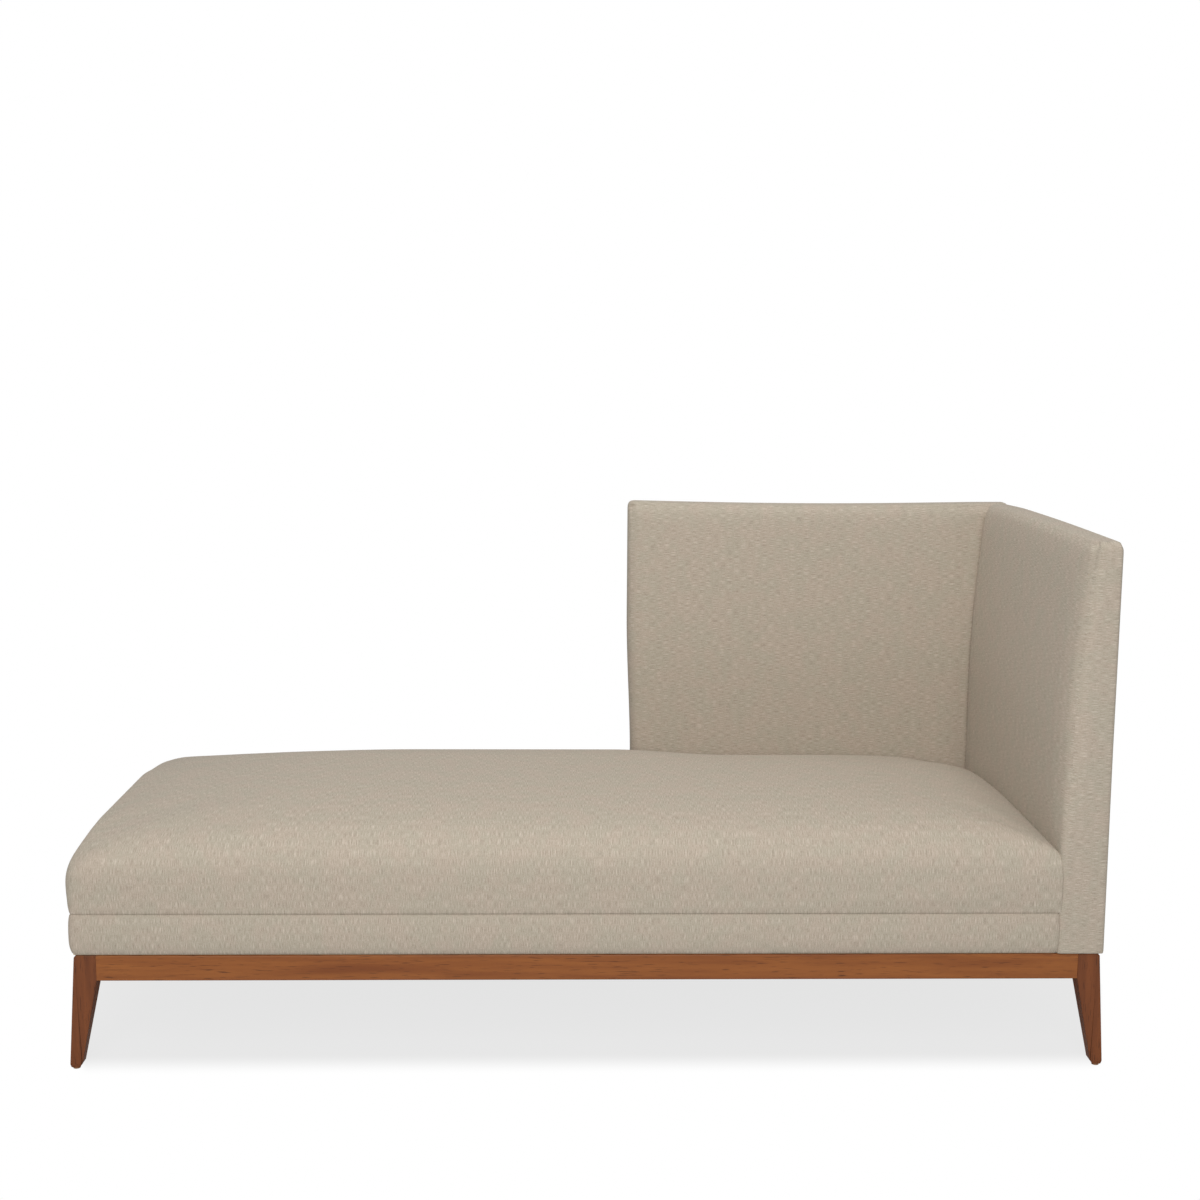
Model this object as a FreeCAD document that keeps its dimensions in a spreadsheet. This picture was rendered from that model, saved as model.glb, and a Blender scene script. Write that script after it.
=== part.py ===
import FreeCAD, Part

import os
import re

import Sketcher

# A chaise longue: a long crowned seat, a full-height arm at its right end and a half back,
# upholstered on timber frames, standing on a stained wood base with four tapered legs.
# X runs along the seat towards the arm, -Y is the open front, Z is up. The origin is on the
# floor under the middle of the base. Sizes are in millimetres.

SIZES = {
    # Wooden base
    "base_long": 1702,
    "base_deep": 720,
    "base_high": 198,
    "rail_tall": 44,
    "rail_thick": 24,
    "rail_ease": 2.5,
    "leg_wide": 36,
    "leg_deep": 34,
    "leg_splay": 13.2,
    "foot_wide": 20.4,
    "foot_deep": 22,
    "foot_bevel": 5,
    "foot_bevel_tall": 7,
    "foot_ease": 1.5,
    "foot_ease_tall": 6,
    "glide_thick": 3,
    "glide_radius": 6,
    "nail_radius": 1.5,
    "nail_long": 16,
    "bearer_thick": 24,
    "bearer_tall": 36,
    "bearer_before_notch": 80,
    "block_reach": 78,
    "block_tall": 34,
    "block_clear": 2,
    # Fasteners and fits
    "dowel_radius": 4,
    "dowel_long": 36,
    "screw_radius": 2.5,
    "screw_long": 60,
    "short_screw_long": 38,
    "screw_head_radius": 4.5,
    "screw_head_thick": 3,
    "screw_sunk": 15,
    "block_recess": 30,
    "bolt_radius": 4,
    "bolt_head_radius": 7.5,
    "bolt_head_thick": 5.5,
    "washer_radius": 9,
    "washer_thick": 1.6,
    "nut_thick": 6.5,
    "bolt_tail": 3,
    "fit_gap": 0.1,
    "bolt_gap": 0.5,
    "run_out": 1,
    # Cloth, padding and webbing
    "dust_thick": 1.2,
    "cloth_thick": 3,
    "foam_gap": 0.3,
    "seam_pad": 3.6,
    "band_pad": 7,
    "band_lift": 1.5,
    "band_round": 14,
    "crown_bulge": 9,
    "seam_gap": 0.5,
    "web_wide": 60,
    "web_thick": 1.5,
    "felt_thick": 1,
    "cloth_margin": 3,
    "bay_end": 40,
    "bay_side": 30,
    # Seat
    "seat_board_thick": 22,
    "seat_board_tall": 66,
    "cross_board_tall": 40,
    "crown_rise": 161,
    "seat_gap": 0.5,
    "trim_run": 60,
    "trim_start": 10,
    "skin_overlap": 0.01,
    # Arm and back
    "arm_thick": 80,
    "arm_overhang": 6.5,
    "back_thick": 82,
    "back_long": 694,
    "slab_high": 888,
    "post_wide": 45,
    "centre_post_wide": 61,
    "slab_rail_tall": 40,
    "slab_foot_tall": 60,
    "panel_thick": 3,
    "thin_foam": 4,
    "end_foam": 17,
    "top_foam": 53,
    "slab_gap": 1,
}

doc = FreeCAD.newDocument("chaise_longue")
sheet = doc.addObject("Spreadsheet::Sheet", "Sizes")
for line, (name, size) in enumerate(SIZES.items(), start=1):
    sheet.set(f"A{line}", name)
    sheet.set(f"B{line}", str(size))
    sheet.setAlias(f"B{line}", name)
doc.recompute()

# Planes that several pieces share, as expressions on the sheet
SIDE = "(base_long / 2)"
FRONT = "(base_deep / 2)"
RAIL_LOW = "(base_high - rail_tall)"
FOOT_SIDE = f"({SIDE} + leg_splay)"
BODY_LOW = "(base_high + dust_thick)"
SEAM = f"({BODY_LOW} + seat_board_tall + 2 * web_thick + seam_gap)"
ARM_OUT = f"({SIDE} + arm_overhang)"
ARM_IN = f"({ARM_OUT} - arm_thick)"
BACK_OUT = f"({FRONT} + band_pad)"
BACK_IN = f"({BACK_OUT} - back_thick)"
BACK_LEFT = f"({ARM_IN} - back_long)"
SEAT_RIGHT = f"({ARM_IN} - seat_gap)"
FRAME_RIGHT = f"({SEAT_RIGHT} - cloth_thick)"
NOTCH_X = f"({BACK_LEFT} - seat_gap - cloth_thick)"
NOTCH_Y = f"({BACK_IN} - seat_gap - cloth_thick)"

WORD = re.compile(r"[a-z][a-z_]*")
parts = []


def cells(text):
    """The text as an expression that reads the sheet's cells."""
    return WORD.sub(lambda w: "Sizes." + w.group() if w.group() in SIZES else w.group(), str(text))


def value(text):
    """The text's value in millimetres."""
    return float(sheet.evalExpression(str(text)))


def add(kind, name, **links):
    """A new object of the document with some of its properties set."""
    item = doc.addObject(kind, name)
    for link, target in links.items():
        setattr(item, link, target)
    return item


def part(name, item):
    """Keeps an object as a sub-part under its name."""
    item.Label = name
    parts.append(item)
    return item


def place(item, position):
    for axis, distance in zip("xyz", position):
        item.setExpression("Placement.Base." + axis, cells(distance))


def board(x, y, z):
    """A straight board between two limits on each axis."""
    item = add("Part::Box", "board")
    for side, (low, high) in zip(("Length", "Width", "Height"), (x, y, z)):
        item.setExpression(side, cells(f"({high}) - ({low})"))
    place(item, (x[0], y[0], z[0]))
    return item


def rod(start, way, steps):
    """A stepped round piece: each step is (from, to, radius) along its way from the start."""
    turned = []
    for low, high, radius in steps:
        step = add("Part::Cylinder", "step")
        step.setExpression("Radius", cells(radius))
        step.setExpression("Height", cells(f"({high}) - ({low})"))
        turn = FreeCAD.Rotation(FreeCAD.Vector(0, 0, 1), FreeCAD.Vector(*way))
        step.Placement = FreeCAD.Placement(FreeCAD.Vector(0, 0, 0), turn)
        place(step, [f"({c}) + ({d}) * ({low})" for c, d in zip(start, way)])
        turned.append(step)
    if len(turned) == 1:
        return turned[0]
    return add("Part::MultiFuse", "rod", Shapes=turned)


def rods(places, steps):
    """The same stepped piece at each (start, way), gathered in one object."""
    return add("Part::Compound", "rods", Links=[rod(start, way, steps) for start, way in places])


def cut(base, *tools):
    tool = tools[0] if len(tools) == 1 else add("Part::Compound", "tools", Links=list(tools))
    return add("Part::Cut", "cut", Base=base, Tool=tool)


def common(base, tool):
    return add("Part::Common", "common", Base=base, Tool=tool)


def outline(body, role, points, lift="0"):
    """A closed sketch on one of the body's planes. Each point is (across, up), or
    (across, up, radius) where the edge that follows is an arc with its centre to the left."""
    sketch = body.newObject("Sketcher::SketchObject", "outline")
    plane = [feature for feature in body.Origin.OriginFeatures if feature.Role == role][0]
    sketch.AttachmentSupport = (plane, [""])
    sketch.MapMode = "FlatFace"
    sketch.setExpression("AttachmentOffset.Base.z", cells(lift))
    spots = [FreeCAD.Vector(value(point[0]), value(point[1]), 0) for point in points]
    for number, point in enumerate(points):
        start = spots[number]
        end = spots[(number + 1) % len(points)]
        if len(point) == 2:
            sketch.addGeometry(Part.LineSegment(start, end), False)
            continue
        half = (end - start) * 0.5
        radius = value(point[2])
        left = FreeCAD.Vector(-half.y, half.x, 0).normalize()
        middle = start + half + left * (radius ** 2 - half.Length ** 2) ** 0.5
        sketch.addGeometry(Part.Arc(start, middle - left * radius, end), False)
    for number, point in enumerate(points):
        following = (number + 1) % len(points)
        sketch.addConstraint(Sketcher.Constraint("Coincident", number, 2, following, 1))
        for kind, text in zip(("DistanceX", "DistanceY"), point):
            rule = sketch.addConstraint(Sketcher.Constraint(kind, -1, 1, number, 1, value(text)))
            sketch.setExpression(f"Constraints[{rule}]", cells(text))
        if len(point) == 3:
            rule = sketch.addConstraint(Sketcher.Constraint("Radius", number, value(point[2])))
            sketch.setExpression(f"Constraints[{rule}]", cells(point[2]))
    return sketch


def pad(role, points, length, lift="0", both_ways=False):
    """An outline on an origin plane, made thick along the plane's normal."""
    body = add("PartDesign::Body", "body")
    sketch = outline(body, role, points, lift)
    feature = body.newObject("PartDesign::Pad", "pad")
    feature.Profile = sketch
    feature.Midplane = both_ways
    feature.setExpression("Length", cells(length))
    body.Tip = feature
    return body


def rounded(x, y, radius):
    """The points of a rectangle with round corners between two limits on each axis."""
    return [
        (f"({x[0]}) + {radius}", y[0]),
        (f"({x[1]}) - {radius}", y[0], radius),
        (x[1], f"({y[0]}) + {radius}"),
        (x[1], f"({y[1]}) - {radius}", radius),
        (f"({x[1]}) - {radius}", y[1]),
        (f"({x[0]}) + {radius}", y[1], radius),
        (x[0], f"({y[1]}) - {radius}"),
        (x[0], f"({y[0]}) + {radius}", radius),
    ]


def loft(sections, straight=False):
    """A soft form through level rounded rectangles: (height, x limits, y limits, radius)."""
    body = add("PartDesign::Body", "body")
    outlines = [outline(body, "XY_Plane", rounded(x, y, r), height) for height, x, y, r in sections]
    feature = body.newObject("PartDesign::AdditiveLoft", "loft")
    feature.Profile = outlines[0]
    feature.Sections = outlines[1:]
    feature.Ruled = straight
    body.Tip = feature
    return body


# More shared planes: the frames inside the arm and the back, and the seat's cross boards
SLAB_FRAME_IN = "(0.27 * {thick} + cloth_thick + panel_thick + thin_foam / 2)"
SLAB_FRAME_OUT = "(0.075 * {thick} + cloth_thick + panel_thick + thin_foam)"
SLAB_END = "(cloth_thick + end_foam)"
ARM_FRAME = (
    f"({ARM_IN} + {SLAB_FRAME_IN.format(thick='arm_thick')})",
    f"({ARM_OUT} - {SLAB_FRAME_OUT.format(thick='arm_thick')})",
)
BACK_FRAME = (
    f"({BACK_IN} + {SLAB_FRAME_IN.format(thick='back_thick')})",
    f"({BACK_OUT} - {SLAB_FRAME_OUT.format(thick='back_thick')})",
)
ARM_ENDS = (f"(-{BACK_OUT} + {SLAB_END})", f"({BACK_OUT} - {SLAB_END})")
BACK_ENDS = (f"({BACK_LEFT} + {SLAB_END})", f"({ARM_IN} - slab_gap - {SLAB_END})")
SLAB_TOP = "(slab_high - top_foam)"
FOOT_TOP = f"({BODY_LOW} + slab_foot_tall)"
TOP_RAIL_LOW = f"({SLAB_TOP} - slab_rail_tall)"
BACK_MIDDLE = f"(({BACK_ENDS[0]} + {BACK_ENDS[1]}) / 2)"
ARM_FRAME_MIDDLE = f"(({ARM_FRAME[0]} + {ARM_FRAME[1]}) / 2)"
BACK_FRAME_MIDDLE = f"(({BACK_FRAME[0]} + {BACK_FRAME[1]}) / 2)"
BEARER_LOW = "(base_high - bearer_tall)"
BEARERS = (
    ("left", f"(0.54 * -{SIDE} + 0.46 * {NOTCH_X})"),
    ("centre", f"({NOTCH_X} - bearer_before_notch)"),
    ("right", f"(({NOTCH_X} + {FRAME_RIGHT}) / 2)"),
)
CORNERS = ((-1, -1), (1, -1), (-1, 1), (1, 1))

# Fasteners as steps along their length, with the holes that they sit in
DOWEL = (("-dowel_long / 2", "dowel_long / 2", "dowel_radius"),)
DOWEL_HOLE = (("-dowel_long / 2 - fit_gap", "dowel_long / 2 + fit_gap", "dowel_radius + fit_gap / 2"),)


def screw(length):
    return (
        ("0", "screw_head_thick", "screw_head_radius"),
        ("screw_head_thick", length, "screw_radius"),
    )


def screw_hole(length, recess):
    return (
        (f"-({recess})", "screw_head_thick", "screw_head_radius + fit_gap"),
        ("screw_head_thick", f"{length} + fit_gap", "screw_radius + fit_gap / 2"),
    )


GLIDE = (
    ("0", "glide_thick", "glide_radius"),
    ("glide_thick", "glide_thick + nail_long", "nail_radius"),
)
GLIDE_HOLE = (("0", "glide_thick + nail_long + fit_gap", "nail_radius + fit_gap / 2"),)


def side_of(text, side):
    """The same distance to the left (-1) or right (1), or to the front or rear."""
    return f"{side} * ({text})"


# Dowels between rails and legs, two at each joint
rail_dowel_places = []
for side, end in CORNERS:
    for height in (f"{RAIL_LOW} + rail_tall / 4", "base_high - rail_tall / 4"):
        joint = (side_of(f"{SIDE} - leg_wide", side), side_of(f"{FRONT} - rail_thick / 2", end), height)
        rail_dowel_places.append((joint, (1, 0, 0)))
        joint = (side_of(f"{SIDE} - rail_thick / 2", side), side_of(f"{FRONT} - leg_deep", end), height)
        rail_dowel_places.append((joint, (0, 1, 0)))

# Dowels between the long rails and the bearers
bearer_dowel_places = []
for name, across in BEARERS:
    for end in (-1, 1):
        for share in (0.25, 0.75):
            height = f"{BEARER_LOW} + {share} * bearer_tall"
            joint = (across, side_of(f"{FRONT} - rail_thick", end), height)
            bearer_dowel_places.append((joint, (0, 1, 0)))

# Screws that pull the corner blocks to the rails
block_screw_places = []
BLOCK_MIDDLE = "(base_high - block_clear - block_tall / 2)"
for side, end in CORNERS:
    near = "(rail_thick + 0.28 * block_reach)"
    far = "(rail_thick + 0.62 * block_reach)"
    head = (side_of(f"{SIDE} - {far}", side), side_of(f"{FRONT} - {near}", end), BLOCK_MIDDLE)
    block_screw_places.append((head, (0, end, 0)))
    head = (side_of(f"{SIDE} - {near}", side), side_of(f"{FRONT} - {far}", end), BLOCK_MIDDLE)
    block_screw_places.append((head, (side, 0, 0)))

# Glides nailed under the feet
GLIDE_SIDE = f"{FOOT_SIDE} - (foot_ease + foot_wide - foot_bevel) / 2"
GLIDE_END = f"{FRONT} - (foot_ease + foot_deep - foot_bevel) / 2"
glide_places = []
for side, end in CORNERS:
    glide_places.append(((side_of(GLIDE_SIDE, side), side_of(GLIDE_END, end), "0"), (0, 0, 1)))

# Screws up through the base: bearers into the seat's cross boards, rails into the arm and back
base_screw_places = []
for name, across in BEARERS:
    for share in (-0.28, 0.28):
        base_screw_places.append(((across, f"{share} * base_deep", BEARER_LOW), (0, 0, 1)))
SCREW_START = f"({RAIL_LOW} + screw_sunk)"
slab_screw_places = []
for share in (-0.14, 0.14):
    line = f"({SIDE} - 0.7 * rail_thick)"
    slab_screw_places.append(((line, f"{share} * base_deep", SCREW_START), (0, 0, 1)))
for share in (-0.15, 0.15):
    line = f"({FRONT} - 0.7 * rail_thick)"
    slab_screw_places.append(((f"{BACK_MIDDLE} + {share} * back_long", line, SCREW_START), (0, 0, 1)))

# Screws through the seat's long boards into the ends of the boards between them
seat_screw_places = []
BOARD_HALF = "seat_board_thick / 2"
LEFT_JOINTS = (f"-{SIDE} + {BOARD_HALF}", BEARERS[0][1], BEARERS[1][1])
INNER_JOINTS = (BEARERS[2][1], f"{FRAME_RIGHT} - {BOARD_HALF}")
FRONT_JOINTS = LEFT_JOINTS + INNER_JOINTS
REAR_JOINTS = LEFT_JOINTS + (f"{NOTCH_X} - {BOARD_HALF}",)
for share in (0.3, 0.75):
    height = f"{BODY_LOW} + {share} * cross_board_tall"
    for across in FRONT_JOINTS:
        seat_screw_places.append(((across, f"-{FRONT}", height), (0, 1, 0)))
    for across in REAR_JOINTS:
        seat_screw_places.append(((across, FRONT, height), (0, -1, 0)))
    for across in INNER_JOINTS:
        seat_screw_places.append(((across, NOTCH_Y, height), (0, -1, 0)))

# Dowels in the corners of the arm's and the back's frames
slab_dowel_places = []
for share in (0.25, 0.75):
    foot_height = f"{BODY_LOW} + {share} * slab_foot_tall"
    top_height = f"{TOP_RAIL_LOW} + {share} * slab_rail_tall"
    for height in (foot_height, top_height):
        for joint in (f"{ARM_ENDS[0]} + post_wide", f"{ARM_ENDS[1]} - post_wide"):
            slab_dowel_places.append(((ARM_FRAME_MIDDLE, joint, height), (0, 1, 0)))
        for joint in (f"{BACK_ENDS[0]} + post_wide", f"{BACK_ENDS[1]} - post_wide"):
            slab_dowel_places.append(((joint, BACK_FRAME_MIDDLE, height), (1, 0, 0)))
    across = f"{BACK_MIDDLE} + ({share} - 0.5) * post_wide"
    for height in (FOOT_TOP, TOP_RAIL_LOW):
        slab_dowel_places.append(((across, BACK_FRAME_MIDDLE, height), (0, 0, 1)))

# Bolts between the frames: (underside of the head's washer, way, grip)
HEAD_DEPTH = "(bolt_head_thick + washer_thick + run_out)"
BOLT_HEIGHT = f"({BODY_LOW} + slab_foot_tall / 2)"
arm_grip = f"({ARM_FRAME[1]} - {HEAD_DEPTH} - ({BACK_ENDS[1]} - post_wide))"
seat_side_grip = f"({ARM_FRAME[1]} - {HEAD_DEPTH} - ({FRAME_RIGHT} - seat_board_thick))"
seat_rear_grip = f"({BACK_FRAME[1]} - {HEAD_DEPTH} - ({NOTCH_Y} - seat_board_thick))"
bolt_places = []
for share in (0.2, 0.5, 0.8):
    height = f"{FOOT_TOP} + {share} * ({TOP_RAIL_LOW} - {FOOT_TOP})"
    spot = (f"{ARM_FRAME[1]} - {HEAD_DEPTH}", BACK_FRAME_MIDDLE, height)
    bolt_places.append((spot, (-1, 0, 0), arm_grip))
for share in (-0.25, 0.25):
    spot = (f"{ARM_FRAME[1]} - {HEAD_DEPTH}", f"{share} * base_deep", BOLT_HEIGHT)
    bolt_places.append((spot, (-1, 0, 0), seat_side_grip))
for share in (-0.3, 0.3):
    spot = (f"{BACK_MIDDLE} + {share} * back_long", f"{BACK_FRAME[1]} - {HEAD_DEPTH}", BOLT_HEIGHT)
    bolt_places.append((spot, (0, -1, 0), seat_rear_grip))


def bolt(spot, way, grip):
    steps = (
        ("-washer_thick - bolt_head_thick", "-washer_thick", "bolt_head_radius"),
        ("-washer_thick", f"{grip} + washer_thick + nut_thick + bolt_tail", "bolt_radius"),
    )
    return rod(spot, way, steps)


def bolt_hole(spot, way, grip):
    steps = (
        (f"-{HEAD_DEPTH}", "0", "washer_radius + bolt_gap"),
        ("0", f"{grip} + run_out", "bolt_radius + bolt_gap"),
    )
    return rod(spot, way, steps)


def ring(spot, way, low, high, radius):
    """A washer or a nut round the bolt's shank."""
    shank = rod(spot, way, (("-2 * washer_thick - nut_thick", f"{high} + run_out", "bolt_radius"),))
    return cut(rod(spot, way, ((low, high, radius),)), shank)


rail_dowel_holes = rods(rail_dowel_places, DOWEL_HOLE)
bearer_dowel_holes = rods(bearer_dowel_places, DOWEL_HOLE)
slab_dowel_holes = rods(slab_dowel_places, DOWEL_HOLE)
block_screw_holes = rods(block_screw_places, screw_hole("short_screw_long", "block_recess"))
glide_holes = rods(glide_places, GLIDE_HOLE)
base_screw_holes = rods(base_screw_places, screw_hole("screw_long", "run_out"))
slab_screw_holes = rods(slab_screw_places, screw_hole("screw_long", "screw_sunk + run_out"))
seat_screw_holes = rods(seat_screw_places, screw_hole("screw_long", "run_out"))
bolt_holes = add("Part::Compound", "bolt_holes", Links=[bolt_hole(*p) for p in bolt_places])


# Legs: a front profile that splays outwards and a side profile that tapers to the foot
def leg(name, side, end):
    points = [
        (side_of(SIDE, side), "base_high"),
        (side_of(f"{SIDE} - leg_wide", side), "base_high"),
        (side_of(f"{SIDE} - leg_wide", side), RAIL_LOW),
        (side_of(f"{FOOT_SIDE} - foot_wide", side), "glide_thick + foot_bevel_tall"),
        (side_of(f"{FOOT_SIDE} - foot_wide + foot_bevel", side), "glide_thick"),
        (side_of(f"{FOOT_SIDE} - foot_ease", side), "glide_thick"),
        (side_of(FOOT_SIDE, side), "glide_thick + foot_ease_tall"),
    ]
    front_profile = pad("XZ_Plane", points, "2 * base_deep", both_ways=True)
    points = [
        (side_of(FRONT, end), "base_high"),
        (side_of(f"{FRONT} - leg_deep", end), "base_high"),
        (side_of(f"{FRONT} - leg_deep", end), RAIL_LOW),
        (side_of(f"{FRONT} - foot_deep", end), "glide_thick + foot_bevel_tall"),
        (side_of(f"{FRONT} - foot_deep + foot_bevel", end), "glide_thick"),
        (side_of(f"{FRONT} - foot_ease", end), "glide_thick"),
        (side_of(FRONT, end), "glide_thick + foot_ease_tall"),
    ]
    side_profile = pad("YZ_Plane", points, "2 * base_long", both_ways=True)
    part(name, cut(common(front_profile, side_profile), rail_dowel_holes, glide_holes))


leg("front_left_leg", -1, -1)
leg("front_right_leg", 1, -1)
leg("rear_left_leg", -1, 1)
leg("rear_right_leg", 1, 1)


# Rails: boards flush with the legs, with their outer edges eased
def rail_section(outer, end):
    """The rail's section, with its outer face to the right or rear (1), or left or front (-1)."""
    if end > 0:
        return [
            (f"{outer} - rail_thick", RAIL_LOW),
            (f"{outer} - rail_ease", RAIL_LOW, "rail_ease"),
            (outer, f"{RAIL_LOW} + rail_ease"),
            (outer, "base_high - rail_ease", "rail_ease"),
            (f"{outer} - rail_ease", "base_high"),
            (f"{outer} - rail_thick", "base_high"),
        ]
    return [
        (f"rail_thick - {outer}", RAIL_LOW),
        (f"rail_thick - {outer}", "base_high"),
        (f"rail_ease - {outer}", "base_high", "rail_ease"),
        (f"-{outer}", "base_high - rail_ease"),
        (f"-{outer}", f"{RAIL_LOW} + rail_ease", "rail_ease"),
        (f"rail_ease - {outer}", RAIL_LOW),
    ]


LONG = "base_long - 2 * leg_wide"
DEEP = "base_deep - 2 * leg_deep"
rail = pad("YZ_Plane", rail_section(FRONT, -1), LONG, both_ways=True)
part("front_rail", cut(rail, rail_dowel_holes, bearer_dowel_holes, block_screw_holes))
rail = pad("YZ_Plane", rail_section(FRONT, 1), LONG, both_ways=True)
holes = (rail_dowel_holes, bearer_dowel_holes, block_screw_holes, slab_screw_holes)
part("rear_rail", cut(rail, *holes))
rail = pad("XZ_Plane", rail_section(SIDE, -1), DEEP, both_ways=True)
part("left_rail", cut(rail, rail_dowel_holes, block_screw_holes))
rail = pad("XZ_Plane", rail_section(SIDE, 1), DEEP, both_ways=True)
part("right_rail", cut(rail, rail_dowel_holes, block_screw_holes, slab_screw_holes))

# Bearers between the long rails
for name, across in BEARERS:
    thick = (f"{across} - bearer_thick / 2", f"{across} + bearer_thick / 2")
    long = (f"rail_thick - {FRONT}", f"{FRONT} - rail_thick")
    bearer = board(thick, long, (BEARER_LOW, "base_high"))
    part(f"{name}_bearer", cut(bearer, bearer_dowel_holes, base_screw_holes))


# Corner blocks set diagonally behind the legs
def corner_block(name, side, end):
    clear = "(leg_wide + leg_deep - 2 * rail_thick + block_clear)"
    corner_x = f"{SIDE} - rail_thick"
    corner_y = f"{FRONT} - rail_thick"
    points = [
        (side_of(f"{corner_x} - {clear}", side), side_of(corner_y, end)),
        (side_of(f"{corner_x} - block_reach", side), side_of(corner_y, end)),
        (side_of(corner_x, side), side_of(f"{corner_y} - block_reach", end)),
        (side_of(corner_x, side), side_of(f"{corner_y} - {clear}", end)),
    ]
    block = pad("XY_Plane", points, "block_tall", lift="base_high - block_clear - block_tall")
    part(name, cut(block, block_screw_holes))


corner_block("front_left_block", -1, -1)
corner_block("front_right_block", 1, -1)
corner_block("rear_left_block", -1, 1)
corner_block("rear_right_block", 1, 1)

# Fasteners of the base
part("rail_dowels", rods(rail_dowel_places, DOWEL))
part("bearer_dowels", rods(bearer_dowel_places, DOWEL))
part("block_screws", rods(block_screw_places, screw("short_screw_long")))
part("base_screws", rods(base_screw_places + slab_screw_places, screw("screw_long")))
part("floor_glides", rods(glide_places, GLIDE))

# Dust cover: the thin cloth under the upholstered body
sheet_x = (f"cloth_margin - {SIDE}", f"{SIDE} - cloth_margin")
sheet_y = (f"cloth_margin - {FRONT}", f"{FRONT} - cloth_margin")
dust = board(sheet_x, sheet_y, ("base_high", BODY_LOW))
part("dust_cover", cut(dust, base_screw_holes, slab_screw_holes))

# Seat frame: an L in plan, with its notch round the back
SEAT_HIGH = f"({BODY_LOW} + seat_board_tall)"
TALL = (BODY_LOW, SEAT_HIGH)
LOW = (BODY_LOW, f"{BODY_LOW} + cross_board_tall")
FRONT_IN = f"(seat_board_thick - {FRONT})"
REAR_IN = f"({FRONT} - seat_board_thick)"
INNER_FRONT = f"({NOTCH_Y} - seat_board_thick)"

frame_board = board((f"-{SIDE}", FRAME_RIGHT), (f"-{FRONT}", FRONT_IN), TALL)
part("seat_front_board", cut(frame_board, seat_screw_holes))
frame_board = board((f"-{SIDE}", NOTCH_X), (REAR_IN, FRONT), TALL)
part("seat_rear_board", cut(frame_board, seat_screw_holes))
frame_board = board((f"{NOTCH_X} - seat_board_thick", FRAME_RIGHT), (INNER_FRONT, NOTCH_Y), TALL)
part("seat_inner_board", cut(frame_board, seat_screw_holes, bolt_holes))
frame_board = board((f"-{SIDE}", f"seat_board_thick - {SIDE}"), (FRONT_IN, REAR_IN), TALL)
part("seat_left_board", cut(frame_board, seat_screw_holes))
frame_board = board((f"{FRAME_RIGHT} - seat_board_thick", FRAME_RIGHT), (FRONT_IN, INNER_FRONT), TALL)
part("seat_right_board", cut(frame_board, seat_screw_holes, bolt_holes))
frame_board = board((f"{NOTCH_X} - seat_board_thick", NOTCH_X), (NOTCH_Y, REAR_IN), TALL)
part("seat_return_board", cut(frame_board, seat_screw_holes))
for name, across in BEARERS:
    thick = (f"{across} - {BOARD_HALF}", f"{across} + {BOARD_HALF}")
    rear = INNER_FRONT if name == "right" else REAR_IN
    frame_board = board(thick, (FRONT_IN, rear), LOW)
    part(f"seat_{name}_cross_board", cut(frame_board, seat_screw_holes, base_screw_holes))
part("seat_screws", rods(seat_screw_places, screw("screw_long")))

# Webbing stapled over the frame: long straps below, cross straps above them
straps = []
long_way = (f"cloth_margin - {SIDE}", f"{FRAME_RIGHT} - cloth_margin")
for share in (-0.31, -0.1, 0.1, 0.31):
    middle = f"{share} * base_deep"
    width = (f"{middle} - web_wide / 2", f"{middle} + web_wide / 2")
    straps.append(board(long_way, width, (SEAT_HIGH, f"{SEAT_HIGH} + web_thick")))
part("seat_long_webbing", add("Part::Compound", "straps", Links=straps))

straps = []
WEB_LOW = f"({SEAT_HIGH} + web_thick)"
LEFT_BAY = (f"(bay_end - {SIDE})", f"({NOTCH_X} - bay_side)")
RIGHT_BAY = (f"({NOTCH_X} + bay_side)", f"({FRAME_RIGHT} - bay_side)")
LEFT_STRAPS = 8
RIGHT_STRAPS = 6
for (low, high), rear, count in ((LEFT_BAY, FRONT, LEFT_STRAPS), (RIGHT_BAY, NOTCH_Y, RIGHT_STRAPS)):
    cross_way = (f"cloth_margin - {FRONT}", f"{rear} - cloth_margin")
    for number in range(count):
        middle = f"({low} + {(number + 0.5) / count:.4f} * ({high} - {low}))"
        width = (f"{middle} - web_wide / 2", f"{middle} + web_wide / 2")
        straps.append(board(width, cross_way, (WEB_LOW, f"{WEB_LOW} + web_thick")))
part("seat_cross_webbing", add("Part::Compound", "straps", Links=straps))


def seat_plan(inset, out, low, tall):
    """The seat's L: inset from the arm and the back, and out past the frame elsewhere."""
    notch_x = f"{BACK_LEFT} - seat_gap - ({inset})"
    notch_y = f"{BACK_IN} - seat_gap - ({inset})"
    right = f"{SEAT_RIGHT} - ({inset})"
    rear = f"{FRONT} + ({out})"
    points = [
        (f"-{SIDE} - ({out})", f"-{FRONT} - ({out})"),
        (right, f"-{FRONT} - ({out})"),
        (right, notch_y),
        (notch_x, notch_y),
        (notch_x, rear),
        (f"-{SIDE} - ({out})", rear),
    ]
    return pad("XY_Plane", points, tall, lift=low)


# Felt over the webbing, under the foam
felt_low = f"({SEAT_HIGH} + 2 * web_thick)"
part("seat_felt", seat_plan("cloth_thick + cloth_margin", "-cloth_margin", felt_low, "felt_thick"))

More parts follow.
